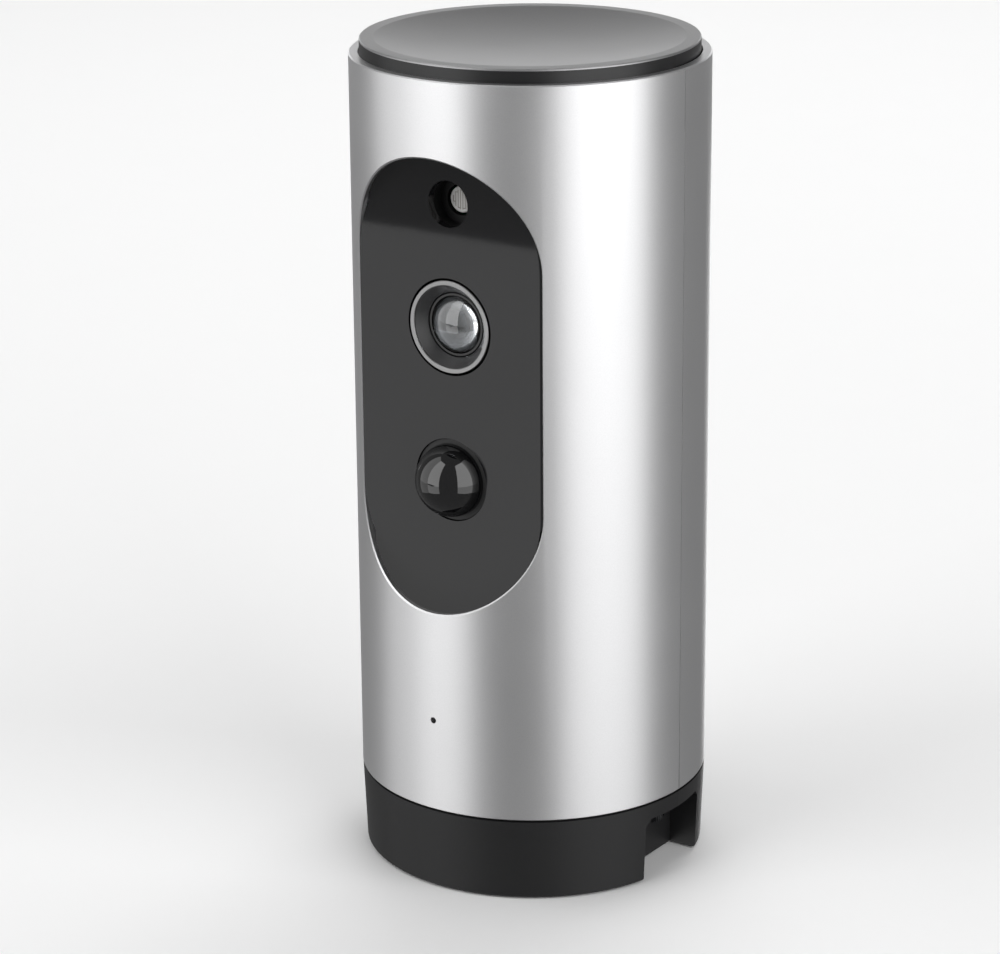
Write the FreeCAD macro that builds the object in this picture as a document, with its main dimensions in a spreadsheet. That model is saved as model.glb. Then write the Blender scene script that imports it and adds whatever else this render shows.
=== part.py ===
"""Free-standing battery camera: a sleeve in two halves on a notched base, with a push-button top.

Millimetres.  +Z is up, -Y is the front, and the origin is the centre of the foot's underside.
"""
import FreeCAD
import Part
import Sketcher
import os
import re

SIZES = {
    # sleeve
    "shell_radius": 30,
    "shell_wall": 1.0,
    "shell_length": 125.25,
    "shell_bevel": 0.2,
    "seam_gap": 0.16,
    "lip_width": 1.55,
    "lip_thickness": 1.0,
    "joint_gap": 0.3,
    "fit_gap": 0.2,
    # window in the front half
    "window_half_width": 18.1,
    "window_low_centre": 68.1,
    "window_high_centre": 109.0,
    "window_bevel": 0.25,
    "mic_height": 30.9,
    "mic_hole_radius": 0.55,
    # front panel
    "panel_thickness": 1.5,
    "panel_gap": 0.3,
    "panel_tail": 2.9,
    "tape_thickness": 0.4,
    "frame_wall": 1.2,
    # camera
    "lens_height": 97.9,
    "lens_gap": 0.4,
    "bezel_radius": 7.8,
    "bezel_bore_radius": 7.0,
    "bezel_proud": 0.15,
    "bezel_depth": 2.4,
    "funnel_depth": 1.8,
    "barrel_nose_radius": 5.4,
    "barrel_radius": 6.0,
    "barrel_length": 10.2,
    "barrel_wall": 2.0,
    "glass_radius": 4.9,
    "glass_dome_radius": 6.5,
    "thread_gap": 0.05,
    "holder_side": 15,
    "holder_room": 1.6,
    "sensor_depth": 14.5,
    "sensor_board_side": 20,
    # motion sensor
    "dome_height": 71.7,
    "dome_radius": 6.2,
    "dome_wall": 0.8,
    "dome_collar_radius": 6.95,
    "dome_flange_radius": 8.4,
    "dome_recess": 0.3,
    # light sensor
    "light_height": 118.5,
    "light_bore_radius": 3.9,
    "light_bore_depth": 3.6,
    "light_radius": 2.25,
    # boards
    "board_thickness": 1.0,
    "main_board_side_gap": 0.64,
    "main_board_low_gap": 1.7,
    "main_board_high_gap": 1.8,
    "ribbon_margin": 0.7,
    "mic_arm_half": 4.6,
    "arm_gap": 0.05,
    "main_board_gap": 2.0,
    "standoff_radius": 1.6,
    # chassis
    "deck_thickness": 2.5,
    "spine_front": 3.0,
    "spine_back": 1.0,
    "rail_wall": 2.3,
    "rail_half_width": 4.0,
    "block_wall": 4.8,
    "block_height": 6.0,
    "block_inset": 16.9,
    "top_deck_inset": 6.9,
    "top_deck_thickness": 2.0,
    # batteries
    "cell_radius": 9.2,
    "cell_length": 65,
    "cell_gap": 0.2,
    "cradle_bottom": 36,
    "cradle_wall": 2.0,
    "contact_room": 6.0,
    "contact_plate": 0.6,
    # base
    "base_height": 14.35,
    "base_radius": 29.4,
    "base_bevel": 0.3,
    "base_step": 0.05,
    "base_wall": 2.2,
    "spigot_gap": 0.15,
    "spigot_wall": 1.6,
    "spigot_height": 3.0,
    "foot_thickness": 1.2,
    "foot_proud": 0.3,
    "foot_margin": 2.9,
    "floor_thickness": 2.0,
    "pillar_across": 16,
    "pillar_along": 17,
    "pillar_radius": 3.2,
    # cable alcove in the base
    "alcove_back": 23.1,
    "alcove_half_width": 8.3,
    "alcove_height": 11.55,
    "alcove_corner": 1.2,
    "alcove_wall": 1.6,
    "port_board_height": 4.2,
    "usb_across": 7.5,
    "usb_tall": 2.6,
    "usb_long": 5.8,
    "usb_place": -3.9,
    "knob_place": 3.3,
    "knob_travel": 2.0,
    "knob_across": 1.6,
    "knob_tall": 1.4,
    # top button
    "button_gap": 0.25,
    "button_proud": 2.3,
    "button_travel": 0.8,
    "button_wall": 1.15,
    "button_floor": 1.5,
    "button_skirt": 2.2,
    "plate_rim": 0.35,
    "plate_centre": 0.7,
    "dish_radius": 25.8,
    "dish_depth": 1.6,
    "post_radius": 1.5,
    "post_circle": 20,
    # fasteners and small parts
    "screw_radius": 1.25,
    "screw_head_radius": 2.3,
    "screw_head": 1.6,
    "screw_length": 14,
    "small_screw_radius": 1.0,
    "small_head_radius": 2.0,
    "small_head": 1.4,
    "small_screw_length": 4.4,
    "screw_gap": 0.05,
    "magnet_radius": 2.0,
    "magnet_length": 2.0,
    "reset_travel": 0.3,
}

# Places that several pieces share, as expressions of the sizes above.
SHELL_BOTTOM = "(base_height + joint_gap)"
SHELL_TOP = "(base_height + joint_gap + shell_length)"
SHELL_BORE = "(shell_radius - shell_wall)"
PANEL = "(sqrt(shell_radius^2 - window_half_width^2))"
TAIL_HALF = f"(sqrt(({SHELL_BORE} - panel_gap)^2 - {PANEL}^2))"
MAIN_HALF = f"({TAIL_HALF} - frame_wall - main_board_side_gap)"
TAIL_BOTTOM = "(window_low_centre - window_half_width - panel_tail)"
TAIL_TOP = "(window_high_centre + window_half_width + panel_tail)"
MAIN_BOTTOM = f"({TAIL_BOTTOM} + frame_wall + main_board_low_gap)"
MAIN_TOP = f"({TAIL_TOP} - frame_wall - main_board_high_gap)"
SPIGOT_RADIUS = f"({SHELL_BORE} - spigot_gap)"
SPIGOT_BORE = f"({SPIGOT_RADIUS} - spigot_wall)"
SPIGOT_TOP = "(base_height + spigot_height)"
FLOOR_TOP = "(foot_thickness + floor_thickness)"
FOOT_RADIUS = "(base_radius - foot_margin)"
DECK_TOP = "(base_height + deck_thickness)"
RAIL_RADIUS = f"({SHELL_BORE} - fit_gap)"
TOP_DECK = f"({SHELL_TOP} - top_deck_inset)"
TOP_DECK_TOP = f"({TOP_DECK} + top_deck_thickness)"
BUTTON_RADIUS = "(shell_radius - lip_width - button_gap)"
BUTTON_TOP = f"({SHELL_TOP} + button_proud)"
BUTTON_PLATE = f"({BUTTON_TOP} - dish_depth - plate_centre)"
BUTTON_UNDER = f"({BUTTON_PLATE} - button_floor)"
MAIN_FRONT = "(spine_front + main_board_gap + board_thickness)"
SENSOR_BACK = f"({PANEL} - sensor_depth - board_thickness)"
CELL_BOTTOM = "(cradle_bottom + cradle_wall + contact_room)"
CELL_TOP = f"({CELL_BOTTOM} + cell_length)"
CELL_ACROSS = "(cell_radius + cell_gap + 0.7)"
CELL_BACK = "(cell_radius + cell_gap + 0.8)"
CRADLE_HALF = f"({CELL_ACROSS} + cell_radius + cell_gap + 0.9)"
RIBBON_LEFT = f"(1.3 - {MAIN_HALF})"
RIBBON_ACROSS = f"({MAIN_HALF} - 1.3 - ribbon_margin - mic_arm_half - arm_gap)"
SOCKET_ACROSS = f"({RIBBON_ACROSS} + 2 * ribbon_margin)"
CRADLE_TOP = f"({CELL_TOP} + contact_plate + cradle_wall)"
PORT_TOP = "(port_board_height + board_thickness)"
ALCOVE_INNER = "(alcove_back - alcove_wall)"
KNOB_HEIGHT = f"({PORT_TOP} + 1.6)"
UPPER_BLOCK = f"({SHELL_TOP} - block_inset)"
LOWER_BLOCK = f"({SPIGOT_TOP} + 6.65)"
MAGNET_PLACE = f"({RAIL_RADIUS} - block_wall / 2)"

TURNS = {
    "up": FreeCAD.Rotation(),
    "down": FreeCAD.Rotation(FreeCAD.Vector(1, 0, 0), 180),
    "front": FreeCAD.Rotation(FreeCAD.Vector(1, 0, 0), 90),
    "back": FreeCAD.Rotation(FreeCAD.Vector(1, 0, 0), -90),
    "right": FreeCAD.Rotation(FreeCAD.Vector(0, 1, 0), 90),
}
HALVES = ("-", "")
CORNERS = [(across, along) for across in HALVES for along in HALVES]

doc = FreeCAD.newDocument("battery_camera")
sheet = doc.addObject("Spreadsheet::Sheet", "Sizes")
for row, (alias, number) in enumerate(SIZES.items(), 1):
    sheet.set(f"A{row}", alias)
    sheet.set(f"B{row}", str(number))
    sheet.setAlias(f"B{row}", alias)
doc.recompute()


def sized(text):
    """The expression with each size's name pointing at the sheet."""
    return re.sub(r"[a-z][a-z_]+", lambda word: named(word.group(0)), str(text))


def named(word):
    """One word of an expression, with the sheet's name before it if it is a size."""
    return "Sizes." + word if word in SIZES else word


def value(text):
    """What an expression of the sizes comes to now."""
    return float(sheet.evalExpression(sized(text)))


def bind(item, **sizes):
    """Ties properties of an object to expressions of the sizes."""
    for name, text in sizes.items():
        item.setExpression(name, sized(text))
    return item


def place(item, at, along="up"):
    """Puts an object at a point of the sizes, with its own +Z turned to a direction."""
    item.Placement = FreeCAD.Placement(FreeCAD.Vector(), TURNS[along])
    for axis, text in zip("xyz", at):
        item.setExpression("Placement.Base." + axis, sized(text))
    return item


def box(name, low, size):
    """A block from its lowest corner."""
    item = doc.addObject("Part::Box", name)
    bind(item, Length=size[0], Width=size[1], Height=size[2])
    return place(item, low)


def slab(name, half_width, front, back, bottom, top):
    """A block centred on the middle plane, between two depths and two heights."""
    size = (f"2 * {half_width}", f"{back} - ({front})", f"{top} - ({bottom})")
    return box(name, (f"-({half_width})", front, bottom), size)


def cylinder(name, radius, length, at=("0", "0", "0"), along="up"):
    """A round bar from the centre of its first end."""
    item = doc.addObject("Part::Cylinder", name)
    bind(item, Radius=radius, Height=length)
    return place(item, at, along)


def sphere(name, radius, at):
    """A ball about a point."""
    item = bind(doc.addObject("Part::Sphere", name), Radius=radius)
    return place(item, at)


def tube(name, radius, bore, length, at=("0", "0", "0"), along="up"):
    """A round bar with a hole through its middle."""
    outer = cylinder(name + "_outside", radius, length, at, along)
    return cut(name, outer, cylinder(name + "_bore", bore, length, at, along))


def fuse(name, *items):
    """Several objects as one."""
    item = doc.addObject("Part::MultiFuse", name)
    item.Shapes = list(items)
    item.Refine = True
    return item


def common(name, *items):
    """What several objects share."""
    item = doc.addObject("Part::MultiCommon", name)
    item.Shapes = list(items)
    return item


def cut(name, base, *tools):
    """An object with others taken away from it."""
    item = doc.addObject("Part::Cut", name)
    item.Base = base
    item.Tool = tools[0] if len(tools) == 1 else fuse(name + "_tools", *tools)
    return item


def group(name, items):
    """Separate solids that are one node."""
    item = doc.addObject("Part::Compound", name)
    item.Links = list(items)
    return item


def outline(body, role, corners):
    """A closed sketch whose corners are each held by two bound dimensions."""
    plane = next(item for item in body.Origin.OriginFeatures if item.Role == role)
    sketch = body.newObject("Sketcher::SketchObject", body.Name + "_outline")
    sketch.AttachmentSupport = (plane, "")
    sketch.MapMode = "FlatFace"
    points = [FreeCAD.Vector(value(x), value(y), 0) for x, y in corners]
    ends = points[1:] + points[:1]
    sketch.addGeometry([Part.LineSegment(start, end) for start, end in zip(points, ends)], False)
    count = len(corners)
    for edge in range(count):
        sketch.addConstraint(Sketcher.Constraint("Coincident", edge, 2, (edge + 1) % count, 1))
    for edge, corner in enumerate(corners):
        for kind, text in zip(("DistanceX", "DistanceY"), corner):
            held = Sketcher.Constraint(kind, -1, 1, edge, 1, value(text))
            label = f"{kind.lower()}_{edge}"
            sketch.renameConstraint(sketch.addConstraint(held), label)
            sketch.setExpression("Constraints." + label, sized(text))
    return sketch


def turned(name, profile, at=("0", "0", "0"), along="up"):
    """A body turned about its own Z from (radius, height) corners."""
    body = doc.addObject("PartDesign::Body", name)
    sketch = outline(body, "XZ_Plane", profile)
    turn = body.newObject("PartDesign::Revolution", name + "_turn")
    turn.Profile = sketch
    turn.ReferenceAxis = (sketch, ["V_Axis"])
    turn.Angle = 360
    return place(body, at, along)


def plate(name, corners, thickness, at=("0", "0", "0"), along="up"):
    """A body padded from (x, y) corners along its own Z."""
    body = doc.addObject("PartDesign::Body", name)
    pad = body.newObject("PartDesign::Pad", name + "_pad")
    pad.Profile = outline(body, "XY_Plane", corners)
    bind(pad, Length=thickness)
    return place(body, at, along)


def screw(name, shank, head, length, head_length, at, along):
    """A pan-head screw from the seat of its head, with the shank pointing along."""
    profile = [
        ("0", f"-({head_length})"),
        (f"{head} - 0.3", f"-({head_length})"),
        (head, f"-({head_length}) + 0.3"),
        (head, "0"),
        (shank, "0"),
        (shank, length),
        ("0", length),
    ]
    return turned(name, profile, at, along)


def small_screw(name, at, along):
    """A board screw."""
    sizes = ("small_screw_radius", "small_head_radius", "small_screw_length", "small_head")
    return screw(name, *sizes, at, along)


def coil(name, radius, wire, length, turns, at):
    """A helical wire spring standing on a point."""
    path = doc.addObject("Part::Helix", name + "_path")
    bind(path, Radius=radius, Height=length, Pitch=f"({length}) / {turns}")
    place(path, at)
    section = bind(doc.addObject("Part::Circle", name + "_section"), Radius=wire)
    place(section, (f"{at[0]} + {radius}", at[1], at[2]), "front")
    spring = doc.addObject("Part::Sweep", name)
    spring.Sections = [section]
    spring.Spine = (path, ["Edge1"])
    spring.Solid = True
    spring.Frenet = True
    return spring


def stadium(name, half_width, front, back):
    """The window's outline as a block: two half rounds joined by straight sides."""
    depth = f"{back} - ({front})"
    ends = [
        cylinder(f"{name}_{end}", half_width, depth, ("0", back, f"window_{end}_centre"), "front")
        for end in ("low", "high")
    ]
    middle = slab(name + "_middle", half_width, front, back, "window_low_centre", "window_high_centre")
    return fuse(name, middle, *ends)


def edges_where(item, test):
    """The numbers of an object's edges whose middle passes a test."""
    doc.recompute()
    return [
        number
        for number, edge in enumerate(item.Shape.Edges, 1)
        if test(edge.valueAt((edge.FirstParameter + edge.LastParameter) / 2))
    ]


# ---------------------------------------------------------------- sleeve

def shell_ring(name):
    """The whole sleeve: a thin wall with bevelled ends and a lip turned in at the top."""
    return turned(name, [
        (SHELL_BORE, SHELL_BOTTOM),
        ("shell_radius - shell_bevel", SHELL_BOTTOM),
        ("shell_radius", f"{SHELL_BOTTOM} + shell_bevel"),
        ("shell_radius", f"{SHELL_TOP} - shell_bevel"),
        ("shell_radius - shell_bevel", SHELL_TOP),
        ("shell_radius - lip_width", SHELL_TOP),
        ("shell_radius - lip_width", f"{SHELL_TOP} - lip_thickness"),
        (SHELL_BORE, f"{SHELL_TOP} - lip_thickness"),
    ])


def half_room(name, front, back, inset="0"):
    """A block that holds one half of the sleeve's space."""
    return slab(name, "2 * shell_radius", front, back, inset, f"{SHELL_TOP} + 10")


def front_shell():
    """The front half, with the window and the microphone hole."""
    half = common(
        "front_half",
        shell_ring("front_ring"),
        half_room("front_room", "-2 * shell_radius", "-seam_gap / 2"),
    )
    window = stadium("window", "window_half_width", "-2 * shell_radius", "0")
    hole_at = ("0", "0", "mic_height")
    hole = cylinder("mic_hole", "mic_hole_radius", "2 * shell_radius", hole_at, "front")
    opened = cut("front_opened", half, window, hole)
    rim = doc.addObject("Part::Chamfer", "front_shell")
    rim.Base = opened
    radius = value("shell_radius")
    reach = value("window_half_width") + 0.01
    low = value(TAIL_BOTTOM)
    high = value(TAIL_TOP)

    def on_window(middle):
        outside = abs((middle.x ** 2 + middle.y ** 2) ** 0.5 - radius) < 0.01
        return outside and abs(middle.x) < reach and low < middle.z < high

    bevel = value("window_bevel")
    rim.Edges = [(number, bevel, bevel) for number in edges_where(opened, on_window)]
    return rim


def rear_shell():
    """The plain rear half, which is the battery cover's outside."""
    room = half_room("rear_room", "seam_gap / 2", "2 * shell_radius")
    return common("rear_shell", shell_ring("rear_ring"), room)


def half_ring(name, bottom):
    """A stiffening half ring inside the rear half, clear of the side blocks."""
    ring = tube(
        name + "_ring",
        SHELL_BORE,
        f"{RAIL_RADIUS} - block_wall",
        "block_height",
        ("0", "0", bottom),
    )
    room = half_room(name + "_room", "rail_half_width + fit_gap", "2 * shell_radius")
    return common(name, ring, room)


def catch_spots():
    """The four points where a magnet faces a catch plate: (x sign, height)."""
    for bottom in (LOWER_BLOCK, UPPER_BLOCK):
        for side in HALVES:
            yield side, f"({bottom} + block_height / 2)"


def cover_frame():
    """Two half rings and a back rib, bonded inside the rear half, drilled for the catch plates."""
    rib_tube = tube(
        "rib_tube",
        SHELL_BORE,
        f"{SHELL_BORE} - 1.5",
        f"{UPPER_BLOCK} - {LOWER_BLOCK}",
        ("0", "0", LOWER_BLOCK),
    )
    rib_room = slab("rib_room", "5", "0", "2 * shell_radius", "0", SHELL_TOP)
    rib = common("cover_rib", rib_tube, rib_room)
    rings = fuse("cover_rings", half_ring("low_ring", LOWER_BLOCK), half_ring("high_ring", UPPER_BLOCK), rib)
    holes = [
        cylinder(f"catch_hole_{number}", "magnet_radius + screw_gap", "1",
                 (f"{side}{MAGNET_PLACE}", "rail_half_width + fit_gap", height), "back")
        for number, (side, height) in enumerate(catch_spots())
    ]
    return cut("cover_frame", rings, *holes)


def cover_catch_plates():
    """Steel discs in the cover frame, one facing each magnet."""
    return group("cover_catch_plates", [
        cylinder(f"catch_{number}", "magnet_radius", "1",
                 (f"{side}{MAGNET_PLACE}", "rail_half_width + fit_gap", height), "back")
        for number, (side, height) in enumerate(catch_spots())
    ])


def cover_magnets():
    """Round magnets pressed into the chassis side blocks, level with their rear faces."""
    return group("cover_magnets", [
        cylinder(f"magnet_{number}", "magnet_radius", "magnet_length",
                 (f"{side}{MAGNET_PLACE}", "rail_half_width - magnet_length", height), "back")
        for number, (side, height) in enumerate(catch_spots())
    ])


# ---------------------------------------------------------------- base

def alcove(name, grow="0"):
    """The cable alcove's space: open outwards and at the bottom, with clipped upper corners."""
    half = f"(alcove_half_width + {grow})"
    top = f"(alcove_height + {grow})"
    return plate(name, [
        (f"-{top}", f"-{half} + alcove_corner"),
        (f"-{top}", f"{half} - alcove_corner"),
        (f"-{top} + alcove_corner", half),
        ("1", half),
        ("1", f"-{half}"),
        (f"-{top} + alcove_corner", f"-{half}"),
    ], "shell_radius", (f"alcove_back - {grow}", "0", "0"), "right")


def pillars(name, radius, length, bottom):
    """Four round bars at the screw places."""
    return [
        cylinder(f"{name}_{number}", radius, length,
                 (f"{across}pillar_across", f"{along}pillar_along", bottom))
        for number, (across, along) in enumerate(CORNERS)
    ]


def port_pegs(name, radius, bottom, length):
    """Four pegs at the port board's corners."""
    spots = [(x, y) for x in ("-12", "19") for y in ("-9.5", "9.5")]
    return [
        cylinder(f"{name}_{number}", radius, length, (x, y, bottom))
        for number, (x, y) in enumerate(spots)
    ]


def base_housing():
    """The moulded base: a drafted cup with a spigot, screw pillars and the alcove's walls."""
    cup = turned("base_cup", [
        ("0", "foot_thickness"),
        (FOOT_RADIUS, "foot_thickness"),
        (FOOT_RADIUS, "foot_proud"),
        ("base_radius - base_bevel", "foot_proud"),
        ("base_radius", "foot_proud + base_bevel"),
        ("shell_radius - base_step", "base_height"),
        (SPIGOT_RADIUS, "base_height"),
        (SPIGOT_RADIUS, SPIGOT_TOP),
        (SPIGOT_BORE, SPIGOT_TOP),
        (SPIGOT_BORE, FLOOR_TOP),
        ("0", FLOOR_TOP),
    ])
    alcove_block = alcove("alcove_block", "alcove_wall")
    inside = cylinder("alcove_reach", f"{SPIGOT_BORE} + 0.6", "base_height - foot_proud", ("0", "0", "foot_proud"))
    walls = common("alcove_walls", alcove_block, inside)
    posts = pillars("pillar", "pillar_radius", f"base_height - {FLOOR_TOP} + 0.5", f"{FLOOR_TOP} - 0.5")
    pegs = port_pegs("peg_foot", "2", f"{FLOOR_TOP} - 0.5", f"port_board_height - {FLOOR_TOP} + 0.5")
    pins = port_pegs("peg", "0.9", "port_board_height - 0.5", "board_thickness + 1")
    solid = fuse("base_solid", cup, walls, *posts, *pegs, *pins)
    holes = pillars("pillar_hole", "screw_radius + 0.2", "base_height", "foot_thickness - 1")
    sinks = pillars("pillar_sink", "screw_head_radius + 0.2", "foot_thickness + 3.8 - 0.2", "0.2")
    usb_hole = box(
        "usb_hole",
        (f"{ALCOVE_INNER} - 1", "usb_place - usb_across / 2 - fit_gap", f"{PORT_TOP} - 0.1"),
        ("alcove_wall + 2", "usb_across + 2 * fit_gap", "usb_tall + 0.1 + fit_gap"),
    )
    knob_slot = box(
        "knob_slot",
        (f"{ALCOVE_INNER} - 1", "knob_place - knob_across / 2 - 0.25", f"{KNOB_HEIGHT} - knob_tall / 2 - 0.25"),
        ("alcove_wall + 2", "knob_across + knob_travel + 0.5", "knob_tall + 0.5"),
    )
    return cut("base_housing", solid, alcove("alcove_space"), usb_hole, knob_slot, *holes, *sinks)


def foot_pad():
    """The rubber pad stuck in the base's recess, cut back round the alcove."""
    disc = cylinder("foot_disc", f"{FOOT_RADIUS} - fit_gap", "foot_thickness")
    return cut("foot_pad", disc, alcove("foot_clearance", "(alcove_wall + fit_gap)"))


def base_screws():
    """Four screws from under the foot pad into the chassis bosses."""
    return group("base_screws", [
        screw(f"base_screw_{number}", "screw_radius", "screw_head_radius", "screw_length", "screw_head",
              (f"{across}pillar_across", f"{along}pillar_along", "foot_thickness + 3.8"), "up")
        for number, (across, along) in enumerate(CORNERS)
    ])


# ---------------------------------------------------------------- port board in the base

def port_board():
    """The small board behind the alcove, held by the base's pegs."""
    board = box("port_blank", ("-14", "-11.2", "port_board_height"),
                (f"14 + {ALCOVE_INNER} - 0.3", "22.4", "board_thickness"))
    return cut("port_board", board, *port_pegs("peg_hole", "1", "port_board_height - 1", "board_thickness + 2"))


def usb_socket():
    """The power socket: a thin metal shell round a tongue, with its mouth in the alcove's wall."""
    start = f"(alcove_back - 0.2 - usb_long)"
    shell = box("usb_shell", (start, "usb_place - usb_across / 2", PORT_TOP),
                ("usb_long", "usb_across", "usb_tall"))
    room = box("usb_room", (f"{start} + 0.8", "usb_place - usb_across / 2 + 0.3", f"{PORT_TOP} + 0.3"),
               ("usb_long", "usb_across - 0.6", "usb_tall - 0.6"))
    tongue = box("usb_tongue", (f"{start} + 0.5", "usb_place - 1.9", f"{PORT_TOP} + 1.1"),
                 ("usb_long - 1.1", "3.8", "0.6"))
    return fuse("usb_socket", cut("usb_tube", shell, room), tongue)


def power_switch_body():
    """The slide switch's case, open towards the alcove for the knob's stem."""
    front = f"({ALCOVE_INNER} - 0.3)"
    case = box("switch_case", (f"{front} - 4", "knob_place - 2.6", PORT_TOP),
               ("4", "knob_travel + 5.2", "3.2"))
    room = box("switch_room", (f"{front} - 1.3", "knob_place - knob_across / 2 - 0.2", f"{KNOB_HEIGHT} - knob_tall / 2 - 0.15"),
               ("3", "knob_across + knob_travel + 0.4", "knob_tall + 0.3"))
    return cut("power_switch_body", case, room)


def power_switch_knob():
    """The knob that slides along the slot to turn the power on and off."""
    start = f"({ALCOVE_INNER} - 1.3)"
    return box("power_switch_knob", (start, "knob_place - knob_across / 2", f"{KNOB_HEIGHT} - knob_tall / 2"),
               (f"alcove_back + 1.2 - {start}", "knob_across", "knob_tall"))


# ---------------------------------------------------------------- chassis

def side_bar(name, wall, bottom, length):
    """Both side bars behind the seams, between two heights."""
    ring = tube(name + "_ring", RAIL_RADIUS, f"{RAIL_RADIUS} - {wall}", length, ("0", "0", bottom))
    room = box(name + "_room", ("-2 * shell_radius", "-rail_half_width", "0"),
               ("4 * shell_radius", "2 * rail_half_width", f"{SHELL_TOP} + 10"))
    return common(name, ring, room)


def button_posts(name, radius, bottom, length):
    """Three round bars on the top button's post circle."""
    spots = [(f"{side}post_circle * 0.866", "post_circle / 2") for side in HALVES]
    spots.append(("0", "-post_circle"))
    return [
        cylinder(f"{name}_{number}", radius, length, (x, y, bottom))
        for number, (x, y) in enumerate(spots)
    ]


def main_board_spots():
    """The main board's four screw places."""
    for side in HALVES:
        for height in (f"({MAIN_BOTTOM} + 7)", f"({MAIN_TOP} - 4)"):
            yield f"{side}({MAIN_HALF} - 2.5)", height


def cradle_screw_heights():
    """The heights of the two screws that hold the battery cradle."""
    return ("(cradle_bottom - 2.5)", f"({CRADLE_TOP} + 2.5)")


def stakes(name, radius):
    """The front frame's four heat stakes through the spine."""
    return [
        cylinder(f"{name}_{number}", radius, "spine_front - spine_back",
                 (f"{side}({TAIL_HALF} - 2.2)", "-spine_front", height), "back")
        for number, (side, height) in enumerate(
            (side, height)
            for side in HALVES
            for height in (f"({TAIL_BOTTOM} + 1.6)", f"({TAIL_TOP} - 1.3)")
        )
    ]


def chassis():
    """The moulded backbone: lower deck, spine, side bars with magnet blocks, and upper deck."""
    deck = cylinder("deck", f"{SPIGOT_BORE} - fit_gap", "deck_thickness", ("0", "0", "base_height"))
    bosses = pillars("boss", "3", "6", f"{DECK_TOP} - 0.1")
    spine = slab("spine", f"({RAIL_RADIUS} - 1)", "-spine_front", "-spine_back", f"{DECK_TOP} - 0.1", f"{TOP_DECK} + 0.1")
    spine_neck = cylinder("spine_neck", f"{SPIGOT_BORE} - fit_gap", "shell_length", ("0", "0", "base_height"))
    spine_wide = cylinder("spine_wide", "2 * shell_radius", "shell_length", ("0", "0", f"{SPIGOT_TOP} + fit_gap"))
    spine_fit = common("spine_fit", spine, fuse("spine_reach", spine_neck, spine_wide))
    rail_bottom = f"({SPIGOT_TOP} + fit_gap)"
    rails = side_bar("rails", "rail_wall", rail_bottom, f"{TOP_DECK} + 0.1 - {rail_bottom}")
    low_blocks = side_bar("low_blocks", "block_wall", LOWER_BLOCK, "block_height")
    high_blocks = side_bar("high_blocks", "block_wall", UPPER_BLOCK, "block_height")
    top_deck = cylinder("top_deck", RAIL_RADIUS, "top_deck_thickness", ("0", "0", TOP_DECK))
    guide_radius = f"({BUTTON_RADIUS} - button_wall - 0.65)"
    guide = tube("guide", guide_radius, f"({guide_radius} - 1.4)", "2.5", ("0", "0", f"{TOP_DECK_TOP} - 0.1"))
    arm = slab("mic_arm", "mic_arm_half", "-(shell_radius - 6)", "-spine_front + 0.1", "mic_height - 1.4", "mic_height + 1.4")
    mic_plate = slab("mic_plate", "5", "-(shell_radius - 5.5)", "-(shell_radius - 7)", "mic_height - 4.4", "mic_height + 4.4")
    board_bosses = [
        cylinder(f"board_boss_{number}", "2", "main_board_gap + 0.5", (x, "-spine_front + 0.5", height), "front")
        for number, (x, height) in enumerate(main_board_spots())
    ]
    solid = fuse("chassis_solid", deck, *bosses, spine_fit, rails, low_blocks, high_blocks, top_deck, guide,
                 arm, mic_plate, *board_bosses)
    bores = pillars("boss_bore", "screw_radius + screw_gap", "deck_thickness + 5.5", "base_height - 0.5")
    post_holes = button_posts("post_hole", "post_radius + 0.3", f"{TOP_DECK} - 1", "top_deck_thickness + 2")
    board_holes = [
        cylinder(f"board_hole_{number}", "small_screw_radius + screw_gap", "20",
                 (x, "spine_front", height), "front")
        for number, (x, height) in enumerate(main_board_spots())
    ]
    cradle_holes = [
        cylinder(f"cradle_hole_{number}", "small_screw_radius + screw_gap", "5", ("0", "0", height), "front")
        for number, height in enumerate(cradle_screw_heights())
    ]
    service_holes = [
        cylinder(f"service_hole_{number}", "small_screw_radius + screw_gap", "5", (x, "0", height), "front")
        for number, (x, height) in enumerate(service_screw_spots())
    ]
    cable_slot = box("cable_slot", (RIBBON_LEFT, f"-{MAIN_FRONT} - 2.4", "base_height - 1"),
                     (SOCKET_ACROSS, "2.2", "deck_thickness + 2"))
    magnet_holes = [
        cylinder(f"magnet_hole_{number}", "magnet_radius", "magnet_length + 1",
                 (f"{side}{MAGNET_PLACE}", "rail_half_width - magnet_length", height), "back")
        for number, (side, height) in enumerate(catch_spots())
    ]
    return cut("chassis", solid, *bores, *post_holes, *board_holes, *cradle_holes, *service_holes,
               *stakes("stake_hole", "1.1"), cable_slot, *magnet_holes)


# ---------------------------------------------------------------- front panel and frame

def panel_back(depth="0"):
    """How far the panel's back, or something a depth behind it, is from the axis."""
    return f"({PANEL} - panel_thickness - {depth})"


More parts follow.
